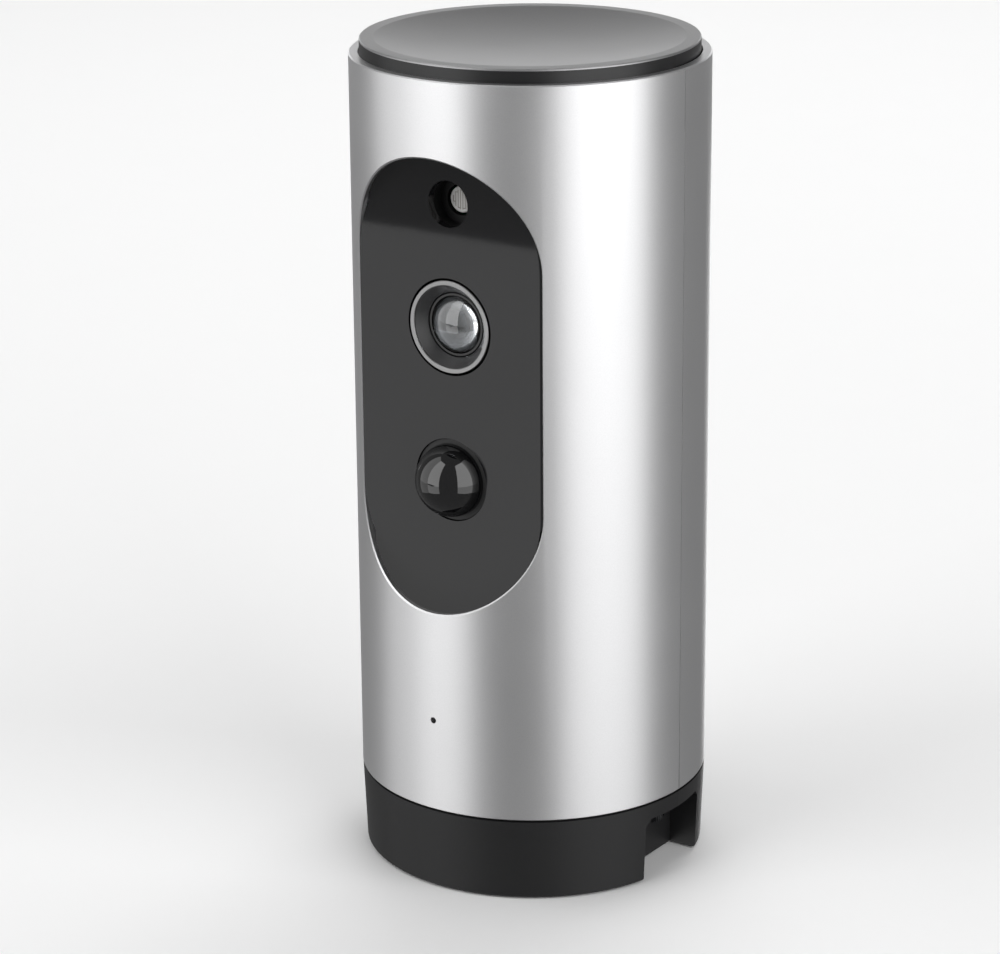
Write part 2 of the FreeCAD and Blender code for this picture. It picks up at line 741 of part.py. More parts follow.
def front_frame():
    """The box behind the panel, staked to the spine, that keeps light and dust out."""
    front = f"-{panel_back('tape_thickness')}"
    outer = slab("frame_outside", TAIL_HALF, front, "-spine_front", TAIL_BOTTOM, TAIL_TOP)
    inner = slab("frame_inside", f"({TAIL_HALF} - frame_wall)", f"{front} - 1", "0",
                 f"{TAIL_BOTTOM} + frame_wall", f"{TAIL_TOP} - frame_wall")
    corners = [
        box(f"frame_corner_{number}", (x, "-spine_front - 2", z), ("3", "2", "2"))
        for number, (x, z) in enumerate(
            (x, z)
            for x in (f"-({TAIL_HALF} - 0.7)", f"({TAIL_HALF} - 3.7)")
            for z in (f"{TAIL_BOTTOM} + 0.6", f"{TAIL_TOP} - 2.3")
        )
    ]
    cable_way = box("frame_cable_way", (RIBBON_LEFT, f"-{MAIN_FRONT} - 2.4", f"{TAIL_BOTTOM} - 1"),
                    (SOCKET_ACROSS, f"{MAIN_FRONT}", "frame_wall + 2"))
    return fuse("front_frame", cut("frame_tube", outer, inner, cable_way), *corners, *stakes("stake", "0.9"))


def panel_tape():
    """The foam tape that bonds the panel to the frame."""
    front = f"-{panel_back()}"
    back = f"-{panel_back('tape_thickness')}"
    outer = slab("tape_outside", TAIL_HALF, front, back, TAIL_BOTTOM, TAIL_TOP)
    inner = slab("tape_inside", f"({TAIL_HALF} - frame_wall)", f"{front} - 1", f"{back} + 1",
                 f"{TAIL_BOTTOM} + frame_wall", f"{TAIL_TOP} - frame_wall")
    return cut("panel_tape", outer, inner)


def front_panel():
    """The flat panel: it fills the window and runs on behind the sleeve above and below it."""
    front = f"-{PANEL}"
    back = f"-{panel_back()}"
    seen = stadium("panel_window", "(window_half_width - panel_gap)", front, back)
    tail = slab("panel_tails", TAIL_HALF, front, back, TAIL_BOTTOM, TAIL_TOP)
    holes = [
        cylinder(name, radius, "2 * panel_thickness", ("0", back + " + panel_thickness / 2", height), "front")
        for name, radius, height in (
            ("lens_hole", "bezel_radius + lens_gap", "lens_height"),
            ("dome_hole", "dome_collar_radius + 0.15", "dome_height"),
            ("light_hole", "light_bore_radius", "light_height"),
        )
    ]
    return cut("front_panel", fuse("panel_blank", seen, tail), *holes)


# ---------------------------------------------------------------- camera

LENS_AT = ("0", f"-{PANEL}", "lens_height")


def lens_bezel():
    """The grey ring round the lens, with softened edges."""
    return turned("lens_bezel", [
        ("bezel_bore_radius", "-bezel_depth"),
        ("bezel_radius", "-bezel_depth"),
        ("bezel_radius", "bezel_proud - 0.1"),
        ("bezel_radius - 0.1", "bezel_proud"),
        ("bezel_bore_radius + 0.1", "bezel_proud"),
        ("bezel_bore_radius", "bezel_proud - 0.1"),
    ], LENS_AT, "front")


def lens_funnel():
    """The black cone between the bezel and the lens barrel."""
    return turned("lens_funnel", [
        ("barrel_nose_radius + 0.1", "-bezel_depth - 0.4"),
        ("bezel_radius", "-bezel_depth - 0.4"),
        ("bezel_radius", "-bezel_depth"),
        ("bezel_bore_radius", "-bezel_depth"),
        ("bezel_bore_radius", "-0.1"),
        ("bezel_bore_radius - 0.1", "-0.1"),
        ("barrel_nose_radius + 0.1", "-funnel_depth"),
    ], LENS_AT, "front")


NOSE = "(-funnel_depth - 0.1)"
SHOULDER = "(-bezel_depth - 0.8)"
GLASS_EDGE = "(-funnel_depth - 0.3)"
BARREL_BACK = f"({SHOULDER} - barrel_length + 1.4)"


def lens_barrel():
    """The threaded barrel that holds the glass."""
    return turned("lens_barrel", [
        ("glass_radius", NOSE),
        ("barrel_nose_radius - 0.15", NOSE),
        ("barrel_nose_radius", f"{NOSE} - 0.15"),
        ("barrel_nose_radius", SHOULDER),
        ("barrel_radius", SHOULDER),
        ("barrel_radius", BARREL_BACK),
        ("barrel_radius - barrel_wall", BARREL_BACK),
        ("barrel_radius - barrel_wall", SHOULDER),
        ("glass_radius", SHOULDER),
    ], LENS_AT, "front")


def lens_glass(name, radius, ball, edge, back):
    """A round lens: flat at the back, bulging forward from its edge."""
    bar = cylinder(name + "_bar", radius, f"3 + {edge} - {back}", ("0", f"-{PANEL} - {back}", "lens_height"), "front")
    centre = f"-{PANEL} - ({edge} - sqrt({ball}^2 - ({radius})^2))"
    return common(name, bar, sphere(name + "_ball", ball, ("0", centre, "lens_height")))


def front_lens():
    """The domed outer glass, resting on the barrel's shoulder."""
    return lens_glass("front_lens", "glass_radius", "glass_dome_radius", GLASS_EDGE, SHOULDER)


def inner_lens():
    """A smaller element half way down the barrel."""
    return lens_glass("inner_lens", "(barrel_radius - barrel_wall)", "8", f"({SHOULDER} - 4)", f"({SHOULDER} - 5.5)")


def lens_holder():
    """The block that the barrel screws into, standing on the sensor board."""
    depth = "(sensor_depth - 6)"
    block = box("holder_block", ("-holder_side / 2", f"-{PANEL} + sensor_depth - {depth}", "lens_height - holder_side / 2"),
                ("holder_side", depth, "holder_side"))
    collar = cylinder("holder_collar", "holder_side / 2 - 0.1", "2", ("0", f"-{PANEL} + 6.1", "lens_height"), "front")
    bore = cylinder("holder_bore", "barrel_radius + thread_gap", "20",
                    ("0", f"-{PANEL} - {BARREL_BACK} + 0.2", "lens_height"), "front")
    light_way = cylinder("holder_way", "4", "5", ("0", f"-{PANEL} + sensor_depth - 0.5", "lens_height"), "front")
    room = slab("holder_space", "6", f"-{PANEL} + sensor_depth - holder_room", f"-{PANEL} + sensor_depth + 1",
                "lens_height - 6", "lens_height + 6")
    return cut("lens_holder", fuse("holder_solid", block, collar), bore, light_way, room)


def ir_filter():
    """The infrared filter glass against the holder's inner ledge."""
    back = f"-{PANEL} + sensor_depth - holder_room"
    return slab("ir_filter", "5", back, f"{back} + 0.4", "lens_height - 5", "lens_height + 5")


def image_sensor():
    """The image sensor chip on its board."""
    back = f"-{PANEL} + sensor_depth"
    return slab("image_sensor", "4", f"{back} - 0.9", back, "lens_height - 4", "lens_height + 4")


def sensor_board():
    """The camera's own small board."""
    half = "sensor_board_side / 2"
    return slab("sensor_board", f"({half})", f"-{PANEL} + sensor_depth", f"-{SENSOR_BACK}",
                f"lens_height - {half}", f"lens_height + {half}")


# ---------------------------------------------------------------- motion and light sensors

def dome_place(depth):
    """A point on the dome's axis, a depth behind the panel's face."""
    return ("0", f"-{PANEL} + {depth}", "dome_height")


def pir_dome():
    """The black dome: a hollow half ball on a collar, with a flange behind the panel."""
    ball = sphere("dome_ball", "dome_radius", dome_place("dome_recess"))
    front_room = slab("dome_room", "10", "-2 * shell_radius", f"-{PANEL} + dome_recess", "dome_height - 10", "dome_height + 10")
    half_ball = common("dome_half", ball, front_room)
    collar = cylinder("dome_collar", "dome_collar_radius", "panel_thickness - dome_recess", dome_place("panel_thickness"), "front")
    flange = cylinder("dome_flange", "dome_flange_radius", "0.8", dome_place("(panel_thickness + 0.8)"), "front")
    hollow = sphere("dome_hollow", "dome_radius - dome_wall", dome_place("dome_recess"))
    way = cylinder("dome_way", "dome_radius - dome_wall", "panel_thickness + 1 - dome_recess", dome_place("(panel_thickness + 1)"), "front")
    return cut("pir_dome", fuse("dome_solid", half_ball, collar, flange), fuse("dome_inside", hollow, way))


def pir_sensor():
    """The motion sensor's can with its rim."""
    return turned("pir_sensor", [
        ("0", "0"),
        ("4.6", "0"),
        ("4.6", "0.5"),
        ("4.15", "0.5"),
        ("4.15", "4"),
        ("3.9", "4.25"),
        ("0", "4.25"),
    ], dome_place("7.5"), "front")


def pir_board():
    """The motion sensor's board."""
    return slab("pir_board", "8", f"-{PANEL} + 7.5", f"-{PANEL} + 7.5 + board_thickness", "dome_height - 8", "dome_height + 8")


def light_sensor_shroud():
    """The black well round the light sensor, with a floor that the sensor looks through."""
    return turned("light_sensor_shroud", [
        ("light_radius + 0.35", "-light_bore_depth - 0.8"),
        ("light_bore_radius + 1.1", "-light_bore_depth - 0.8"),
        ("light_bore_radius + 1.1", "-panel_thickness"),
        ("light_bore_radius", "-panel_thickness"),
        ("light_bore_radius", "-light_bore_depth"),
        ("light_radius + 0.35", "-light_bore_depth"),
    ], ("0", f"-{PANEL}", "light_height"), "front")


def light_sensor():
    """The photocell at the bottom of the well."""
    return turned("light_sensor", [
        ("0", "-light_bore_depth - 2.8"),
        ("light_radius", "-light_bore_depth - 2.8"),
        ("light_radius", "-light_bore_depth - 0.4"),
        ("light_radius - 0.25", "-light_bore_depth - 0.25"),
        ("0", "-light_bore_depth - 0.25"),
    ], ("0", f"-{PANEL}", "light_height"), "front")


def light_sensor_board():
    """The photocell's board."""
    back = f"-{PANEL} + light_bore_depth + 2.8"
    return slab("light_sensor_board", "5", back, f"{back} + board_thickness", "light_height - 5", "light_height + 5")


def board_standoffs():
    """Brass standoffs from the main board to the three front boards."""
    spots = [
        (f"{side}8.5", f"lens_height {sign} 8.5", SENSOR_BACK)
        for side in HALVES
        for sign in "+-"
    ]
    spots += [(f"{side}6", f"dome_height {sign} 6", f"({PANEL} - 7.5 - board_thickness)") for side, sign in (("-", "+"), ("", "-"))]
    depth = f"({PANEL} - light_bore_depth - 2.8 - board_thickness)"
    spots += [(f"{side}3.2", f"light_height {sign} 3.2", depth) for side, sign in (("-", "+"), ("", "-"))]
    return group("board_standoffs", [
        cylinder(f"standoff_{number}", "standoff_radius", f"{reach} - {MAIN_FRONT}", (x, f"-{MAIN_FRONT}", z), "front")
        for number, (x, z, reach) in enumerate(spots)
    ])


# ---------------------------------------------------------------- main board

def main_board():
    """The main board on the chassis bosses."""
    blank = slab("main_blank", MAIN_HALF, f"-{MAIN_FRONT}", f"-{MAIN_FRONT} + board_thickness",
                 MAIN_BOTTOM, MAIN_TOP)
    holes = [
        cylinder(f"main_hole_{number}", "small_screw_radius + screw_gap", "4", (x, f"-{MAIN_FRONT} + 2", height), "front")
        for number, (x, height) in enumerate(main_board_spots())
    ]
    return cut("main_board", blank, *holes)


def on_board(name, x, z, width, height, thickness):
    """A chip on the main board's front face, by its lower left corner."""
    return box(name, (x, f"-{MAIN_FRONT} - {thickness}", z), (width, thickness, height))


def board_chips():
    """Processor, memory, power and charging chips."""
    return group("board_chips", [
        on_board("processor", "-6", f"{MAIN_BOTTOM} + 34", "12", "12", "1.2"),
        on_board("memory", "-4.5", f"{MAIN_BOTTOM} + 50", "9", "7", "1"),
        on_board("power_chip", f"{MAIN_HALF} - 11", f"{MAIN_BOTTOM} + 8", "5", "5", "1"),
        on_board("charge_chip", f"{MAIN_HALF} - 11", f"{MAIN_BOTTOM} + 2", "4", "4", "1"),
    ])


def radio_module():
    """The shielded radio module at the top of the board."""
    return on_board("radio_module", f"-({MAIN_HALF} - 0.5)", f"{MAIN_TOP} - 18.5", "7.5", "11", "2")


def board_screws():
    """Small screws in the main board and the service board."""
    front = [
        small_screw(f"main_screw_{number}", (x, f"-{MAIN_FRONT}", height), "back")
        for number, (x, height) in enumerate(main_board_spots())
    ]
    rear = [
        small_screw(f"service_screw_{number}", (x, "-spine_back + board_thickness", height), "front")
        for number, (x, height) in enumerate(service_screw_spots())
    ]
    return group("board_screws", front + rear)


def ribbon_sockets():
    """The ribbon cable's two sockets, one on each board."""
    return group("ribbon_sockets", [
        on_board("upper_socket", RIBBON_LEFT, f"{MAIN_BOTTOM} + 0.4", SOCKET_ACROSS, "3.2", "2.6"),
        box("lower_socket", (RIBBON_LEFT, f"-{MAIN_FRONT} - 2.6", PORT_TOP), (SOCKET_ACROSS, "2.6", "2.6")),
    ])


def ribbon_cable():
    """The flat cable from the port board up to the main board."""
    return box("ribbon_cable", (f"{RIBBON_LEFT} + ribbon_margin", f"-{MAIN_FRONT} - 1.45", f"{PORT_TOP} + 2.6"),
               (RIBBON_ACROSS, "0.3", f"{MAIN_BOTTOM} + 0.4 - {PORT_TOP} - 2.6"))


# ---------------------------------------------------------------- microphone

def mic_boot():
    """The rubber boot that seals the microphone to the hole in the sleeve."""
    front = f"({SHELL_BORE} - 0.4)"
    back = "(shell_radius - 5.5)"
    body = cylinder("boot_body", "4.2", f"{front} - {back}", ("0", f"-{back}", "mic_height"), "front")
    room = cylinder("boot_room", "3", "2.7", ("0", f"-{back} + 0.01", "mic_height"), "front")
    way = cylinder("boot_way", "mic_hole_radius + 0.1", "10", ("0", f"-{back}", "mic_height"), "front")
    return cut("mic_boot", body, room, way)


def mic_capsule():
    """The microphone capsule in the boot."""
    return cylinder("mic_capsule", "2.98", "2.6", ("0", "-(shell_radius - 5.5)", "mic_height"), "front")


# ---------------------------------------------------------------- batteries

def cell_bores(name, bottom, length, radius):
    """Two upright bars at the cells' places."""
    return [
        cylinder(f"{name}_{number}", radius, length, (f"{side}{CELL_ACROSS}", CELL_BACK, bottom))
        for number, side in enumerate(HALVES)
    ]


def battery_cradle():
    """The open tray for two cells side by side, with screw tabs at both ends."""
    block = slab("cradle_block", CRADLE_HALF, "-spine_back", CELL_BACK, "cradle_bottom", CRADLE_TOP)
    tabs = [
        slab(f"cradle_tab_{number}", "4", "-spine_back", "1", f"{height} - 2.6", f"{height} + 2.6")
        for number, height in enumerate(cradle_screw_heights())
    ]
    solid = fuse("cradle_solid", block, *tabs)
    bores = cell_bores("cradle_bore", "cradle_bottom + cradle_wall",
                       "contact_room + cell_length + contact_plate", "cell_radius + cell_gap")
    holes = [
        cylinder(f"tab_hole_{number}", "small_screw_radius + screw_gap", "4", ("0", "2", height), "front")
        for number, height in enumerate(cradle_screw_heights())
    ]
    return cut("battery_cradle", solid, *bores, *holes)


def battery_cell(name, side):
    """One rechargeable cell with its raised end."""
    return turned(name, [
        ("0", "0"),
        ("cell_radius - 0.3", "0"),
        ("cell_radius", "0.3"),
        ("cell_radius", "cell_length - 2.4"),
        ("cell_radius - 1", "cell_length - 1.4"),
        ("3.2", "cell_length - 1.4"),
        ("3.2", "cell_length"),
        ("0", "cell_length"),
    ], (f"{side}{CELL_ACROSS}", CELL_BACK, CELL_BOTTOM))


def battery_springs():
    """The bent leaf springs under the cells: a foot, a rising arm, a contact flat and a turned-down tip."""
    corners = [
        ("-5", "0"),
        ("5", "0"),
        ("5", "0.3"),
        ("-4.35", "0.3"),
        ("-1.6", "contact_room - 0.4"),
        ("1.6", "contact_room - 0.4"),
        ("3.6", "contact_room - 1.8"),
        ("3.8", "contact_room - 1.55"),
        ("1.7", "contact_room - 0.05"),
        ("-1.8", "contact_room - 0.05"),
        ("-5", "0.3"),
    ]
    return group("battery_springs", [
        plate(f"contact_leaf_{number}", corners, "5",
              (f"{side}{CELL_ACROSS}", f"{CELL_BACK} + 2.5", "cradle_bottom + cradle_wall"), "front")
        for number, side in enumerate(HALVES)
    ])


def battery_plates():
    """The flat contacts above the cells."""
    return group("battery_plates", [
        box(f"contact_plate_{number}", (f"{side}{CELL_ACROSS} - 4", f"{CELL_BACK} - 6", CELL_TOP),
            ("8", "11", "contact_plate"))
        for number, side in enumerate(HALVES)
    ])


def cradle_screws():
    """Two small screws in the cradle's tabs."""
    return group("cradle_screws", [
        small_screw(f"cradle_screw_{number}", ("0", "1", height), "front")
        for number, height in enumerate(cradle_screw_heights())
    ])


# ---------------------------------------------------------------- service board behind the cover

SERVICE_BOTTOM = f"({CRADLE_TOP} + 5.4)"
SERVICE_FACE = "(board_thickness - spine_back)"


def service_screw_spots():
    """The service board's two screw places."""
    return [(f"{side}18", f"({SERVICE_BOTTOM} + 6)") for side in HALVES]


def service_board():
    """The small board that a user reaches with the cover off."""
    blank = slab("service_blank", "20.5", "-spine_back", SERVICE_FACE, SERVICE_BOTTOM, f"{SERVICE_BOTTOM} + 13")
    holes = [
        cylinder(f"service_bore_{number}", "small_screw_radius + screw_gap", "4", (x, "2", height), "front")
        for number, (x, height) in enumerate(service_screw_spots())
    ]
    return cut("service_board", blank, *holes)


def card_socket():
    """The memory card's socket, open towards the side."""
    shell = box("card_shell", ("-14.5", SERVICE_FACE, f"{SERVICE_BOTTOM} + 0.5"), ("14", "1.9", "12"))
    room = box("card_room", ("-15.5", f"{SERVICE_FACE} + 0.4", f"{SERVICE_BOTTOM} + 1"), ("13.5", "1.1", "11"))
    return cut("card_socket", shell, room)


RESET_AT = ("10", f"{SERVICE_BOTTOM} + 6.5")


def reset_switch():
    """The reset switch's case, with a well for its button."""
    case = box("reset_case", (f"{RESET_AT[0]} - 3", SERVICE_FACE, f"{RESET_AT[1]} - 3"), ("6", "3.4", "6"))
    well = cylinder("reset_well", "1.65", "3", (RESET_AT[0], f"{SERVICE_FACE} + 1.8", RESET_AT[1]), "back")
    return cut("reset_switch", case, well)


def reset_button():
    """The reset switch's button."""
    start = f"({SERVICE_FACE} + 1.9 + reset_travel)"
    return cylinder("reset_button", "1.5", "3", (RESET_AT[0], start, RESET_AT[1]), "back")


# ---------------------------------------------------------------- top button

def antenna_board():
    """The antenna board on the upper deck, under the button."""
    return box("antenna_board", ("-15", "-14.5", TOP_DECK_TOP), ("30", "6", "0.8"))


def switch_board():
    """The top switch's board."""
    return box("switch_board", ("-7", "-7", TOP_DECK_TOP), ("14", "14", "board_thickness"))


def top_switch():
    """The switch that the top button presses, with its low plunger."""
    case = box("switch_cube", ("-3", "-3", f"{TOP_DECK_TOP} + board_thickness"), ("6", "6", "1.2"))
    top = f"({BUTTON_UNDER} - button_travel - 0.05)"
    bottom = f"({TOP_DECK_TOP} + board_thickness + 1.1)"
    return fuse("top_switch", case, cylinder("switch_plunger", "1.6", f"{top} - {bottom}", ("0", "0", bottom)))


def cap_body():
    """The button's black body: a cup for the plate, a skirt, and three guide posts."""
    wall_bore = f"({BUTTON_RADIUS} - button_wall)"
    cup = turned("cap_cup", [
        ("0", BUTTON_UNDER),
        (wall_bore, BUTTON_UNDER),
        (wall_bore, f"{BUTTON_UNDER} - button_skirt"),
        (BUTTON_RADIUS, f"{BUTTON_UNDER} - button_skirt"),
        (BUTTON_RADIUS, f"{BUTTON_TOP} - plate_rim"),
        (wall_bore, f"{BUTTON_TOP} - plate_rim"),
        (wall_bore, BUTTON_PLATE),
        ("0", BUTTON_PLATE),
    ])
    bottom = f"({TOP_DECK} - 0.1)"
    posts = button_posts("post", "post_radius", bottom, f"{BUTTON_UNDER} - {bottom} + 0.5")
    bores = button_posts("post_bore", "0.85", bottom, "5")
    return cut("cap_body", fuse("cap_solid", cup, *posts), *bores)


def cap_plate():
    """The grey plate on the button: a flat rim round a shallow dish."""
    blank = turned("plate_blank", [
        ("0", BUTTON_PLATE),
        (f"{BUTTON_RADIUS} - button_wall - 0.05", BUTTON_PLATE),
        (f"{BUTTON_RADIUS} - button_wall - 0.05", f"{BUTTON_TOP} - plate_rim"),
        (f"{BUTTON_RADIUS} - 0.02", f"{BUTTON_TOP} - plate_rim"),
        (f"{BUTTON_RADIUS} - 0.02", f"{BUTTON_TOP} - 0.15"),
        (f"{BUTTON_RADIUS} - 0.17", BUTTON_TOP),
        ("0", BUTTON_TOP),
    ])
    ball = "((dish_radius^2 + dish_depth^2) / (2 * dish_depth))"
    dish = sphere("dish_ball", ball, ("0", "0", f"{BUTTON_TOP} - dish_depth + {ball}"))
    return cut("cap_plate", blank, dish)


def cap_screws():
    """Three screws that hold the button's posts under the deck."""
    bottom = f"({TOP_DECK} - 0.1)"
    spots = [(f"{side}post_circle * 0.866", "post_circle / 2") for side in HALVES]
    spots.append(("0", "-post_circle"))
    return group("cap_screws", [
        screw(f"cap_screw_{number}", "0.8", "2.3", "4.5", "1.2", (x, y, bottom), "up")
        for number, (x, y) in enumerate(spots)
    ])


def button_springs():
    """Return springs round the button's posts."""
    spots = [(f"{side}post_circle * 0.866", "post_circle / 2") for side in HALVES]
    spots.append(("0", "-post_circle"))
    return group("button_springs", [
        coil(f"button_spring_{number}", "2.3", "0.25", f"{BUTTON_UNDER} - {TOP_DECK_TOP} - 0.6", "3",
             (x, y, f"{TOP_DECK_TOP} + 0.3"))
        for number, (x, y) in enumerate(spots)
    ])


# ---------------------------------------------------------------- build and write

MAKERS = [
    front_shell, rear_shell, cover_frame, cover_catch_plates, cover_magnets,
    base_housing, foot_pad, base_screws,
    port_board, usb_socket, power_switch_body, power_switch_knob,
    chassis, front_frame, panel_tape, front_panel,
    lens_bezel, lens_funnel, lens_barrel, front_lens, inner_lens, lens_holder, ir_filter, image_sensor, sensor_board,
    pir_dome, pir_sensor, pir_board, light_sensor_shroud, light_sensor, light_sensor_board, board_standoffs,
    main_board, board_chips, radio_module, board_screws, ribbon_sockets, ribbon_cable,
    mic_boot, mic_capsule,
    battery_cradle, battery_springs, battery_plates, cradle_screws,
    service_board, card_socket, reset_switch, reset_button,
    antenna_board, switch_board, top_switch, cap_body, cap_plate, cap_screws, button_springs,
]


def main():
    """Builds every piece, checks them all, and writes one file for each."""
    pieces = [make() for make in MAKERS]
    pieces += [battery_cell("battery_cell_left", "-"), battery_cell("battery_cell_right", "")]
    doc.recompute()
    for item in doc.Objects:
        bad = {"Invalid", "Error"} & set(item.State)
        if bad:
            raise ValueError(f"{item.Name} is {bad}")
    os.makedirs("parts", exist_ok=True)
    for piece in pieces:
        piece.Label = piece.Name
        if piece.Shape.isNull() or not piece.Shape.isValid() or not piece.Shape.Solids:
            raise ValueError(f"{piece.Label} has no valid solid")
    for piece in pieces:
        piece.Shape.exportStep(f"parts/{piece.Label}.step")
        print(f"{piece.Label}: {len(piece.Shape.Solids)} solids, {piece.Shape.Volume:.1f} mm3")


main()
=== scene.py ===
"""A free-standing battery camera: finishes for the CAD pieces, finely made small parts, and the studio."""
from math import cos, pi, radians, sin, tan

import bmesh
import bpy
from bpy.props import FloatProperty, FloatVectorProperty, IntProperty, PointerProperty
from mathutils import Matrix, Vector


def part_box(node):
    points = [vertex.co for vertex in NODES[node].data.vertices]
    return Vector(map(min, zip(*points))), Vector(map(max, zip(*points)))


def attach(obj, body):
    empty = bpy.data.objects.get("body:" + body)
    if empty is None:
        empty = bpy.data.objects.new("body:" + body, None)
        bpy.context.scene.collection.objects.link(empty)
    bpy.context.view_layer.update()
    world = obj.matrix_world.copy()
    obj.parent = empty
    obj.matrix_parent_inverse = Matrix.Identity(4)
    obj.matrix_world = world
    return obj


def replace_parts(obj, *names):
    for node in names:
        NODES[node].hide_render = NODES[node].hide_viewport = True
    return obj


bl_info = {
    "name": "Battery Camera",
    "version": (1, 0, 0),
    "blender": (4, 5, 0),
    "location": "View3D > Sidebar > Battery Camera",
    "description": "Finishes and small parts of a cylindrical battery camera",
    "category": "Object",
}

MM = 0.001
ON_AXIS = 1e-7  # a turned corner nearer the axis than this is a point on it
EYE_LEVEL = 0.07  # height that the lights are aimed at, about the object's middle
FLOOR_HALF = 1.9
WALL_RADIUS = 1.88
WALL_BOTTOM, WALL_TOP = -0.02, 1.6
FLAG_LOW, FLAG_HIGH, FLAG_HEIGHT = (-0.46, -0.64), (-0.19, -0.385), 0.0005
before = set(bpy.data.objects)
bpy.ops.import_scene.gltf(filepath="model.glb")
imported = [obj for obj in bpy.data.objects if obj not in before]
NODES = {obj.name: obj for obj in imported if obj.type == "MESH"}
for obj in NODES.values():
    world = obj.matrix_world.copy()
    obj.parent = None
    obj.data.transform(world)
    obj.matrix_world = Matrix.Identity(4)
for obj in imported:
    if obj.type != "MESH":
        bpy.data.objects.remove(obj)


def linear(text):
    """An sRGB hex colour as linear red, green and blue."""
    parts = [int(text[i:i + 2], 16) / 255 for i in (1, 3, 5)]
    return tuple(((c + 0.055) / 1.055) ** 2.4 if c > 0.04045 else c / 12.92 for c in parts)


def rgba(colour):
    """A colour with full alpha, from a hex text or three linear numbers."""
    return (*(linear(colour) if isinstance(colour, str) else tuple(colour)), 1.0)


def per(size):
    """The texture scale that gives a pattern of a size in millimetres."""
    return 1 / (size * MM)


def add(material, kind, inputs=None, **settings):
    """Adds a node with its settings, and sets or links its inputs."""
    node = material.node_tree.nodes.new(kind)
    for name, value in settings.items():
        setattr(node, name, value)
    for name, value in (inputs or {}).items():
        if isinstance(value, bpy.types.NodeSocket):
            material.node_tree.links.new(value, node.inputs[name])
        else:
            node.inputs[name].default_value = value
    return node


def blank(name):
    """An empty node material with its output, its shader and its object coordinates."""
    material = bpy.data.materials.new(name)
    material.use_nodes = True
    material.node_tree.nodes.clear()
    shader = add(material, "ShaderNodeBsdfPrincipled")
    add(material, "ShaderNodeOutputMaterial", {"Surface": shader.outputs["BSDF"]})
    place = add(material, "ShaderNodeTexCoord").outputs["Object"]
    return material, shader, place


def put(shader, **values):
    """Sets plain values on a shader's own sockets; underscores stand for spaces."""
    for name, value in values.items():
        shader.inputs[name.replace("_", " ")].default_value = value


def join(material, output, shader, name):
    """Links an output to a shader's input."""
    material.node_tree.links.new(output, shader.inputs[name])


def toned(material, shader, place, colour, grain, spread, octaves=3):
    """Breaks a colour up into slightly lighter and darker patches of a grain in millimetres."""
    noise = add(material, "ShaderNodeTexNoise", {"Vector": place, "Scale": per(grain), "Detail": octaves})
    low = rgba([c * (1 - spread) for c in rgba(colour)[:3]])
    high = rgba([min(1, c * (1 + spread)) for c in rgba(colour)[:3]])
    factor = noise.outputs["Fac"]
    mix = add(material, "ShaderNodeMix", {"Factor": factor, "A": low, "B": high}, data_type="RGBA")
    join(material, mix.outputs["Result"], shader, "Base Color")
    return noise


def roughened(material, shader, source, low, high):
    """Varies roughness between two values with a texture."""
    spread = add(material, "ShaderNodeMapRange", {"Value": source, "To Min": low, "To Max": high})
    join(material, spread.outputs["Result"], shader, "Roughness")


def bumped(material, shader, source, depth):
    """Raises a surface by a texture, by a depth in millimetres."""
    bump = add(material, "ShaderNodeBump", {"Height": source, "Distance": depth * MM, "Strength": 1.0})
    join(material, bump.outputs["Normal"], shader, "Normal")


# ---------------------------------------------------------------- materials

def blasted_aluminium(name, colour, roughness, grit, depth, uneven=0.05):
    """Bead-blasted and clear-anodised aluminium: a soft sheen that spreads each light into a broad band,
    over a fine even grit. Real grit is near 0.1 mm, and is drawn a little coarser so that it shows."""
    material, shader, place = blank(name)
    grit_noise = toned(material, shader, place, colour, grit, uneven, 2)
    cloud = add(material, "ShaderNodeTexNoise", {"Vector": place, "Scale": per(18), "Detail": 3})
    roughened(material, shader, cloud.outputs["Fac"], roughness - 0.025, roughness + 0.025)
    bumped(material, shader, grit_noise.outputs["Fac"], depth)
    put(shader, Metallic=1.0)
    return material


def moulded_abs(name, colour, roughness, grain=0.28, depth=0.012, gloss=0.5):
    """Injection-moulded plastic, ABS unless its name says otherwise, from a spark-eroded mould: its grain
    breaks up highlights."""
    material, shader, place = blank(name)
    noise = toned(material, shader, place, colour, grain, 0.10, 4)
    cloud = add(material, "ShaderNodeTexNoise", {"Vector": place, "Scale": per(11), "Detail": 2})
    roughened(material, shader, cloud.outputs["Fac"], roughness - 0.05, roughness + 0.05)
    bumped(material, shader, noise.outputs["Fac"], depth)
    put(shader, IOR=1.53, Specular_IOR_Level=gloss)
    return material


def polished_polycarbonate(name, colour, roughness=0.03, gloss=0.5):
    """Polished polycarbonate: near-black and mirror smooth, with the faint orange peel that moulding
    leaves."""
    material, shader, place = blank(name)
    toned(material, shader, place, colour, 9, 0.06)
    peel = add(material, "ShaderNodeTexNoise", {"Vector": place, "Scale": per(3.2), "Detail": 1})
    bumped(material, shader, peel.outputs["Fac"], 0.0006)
    dust = add(material, "ShaderNodeTexNoise", {"Vector": place, "Scale": per(0.5), "Detail": 5})
    roughened(material, shader, dust.outputs["Fac"], roughness, roughness + 0.03)
    put(shader, IOR=1.58, Specular_IOR_Level=gloss)
    return material


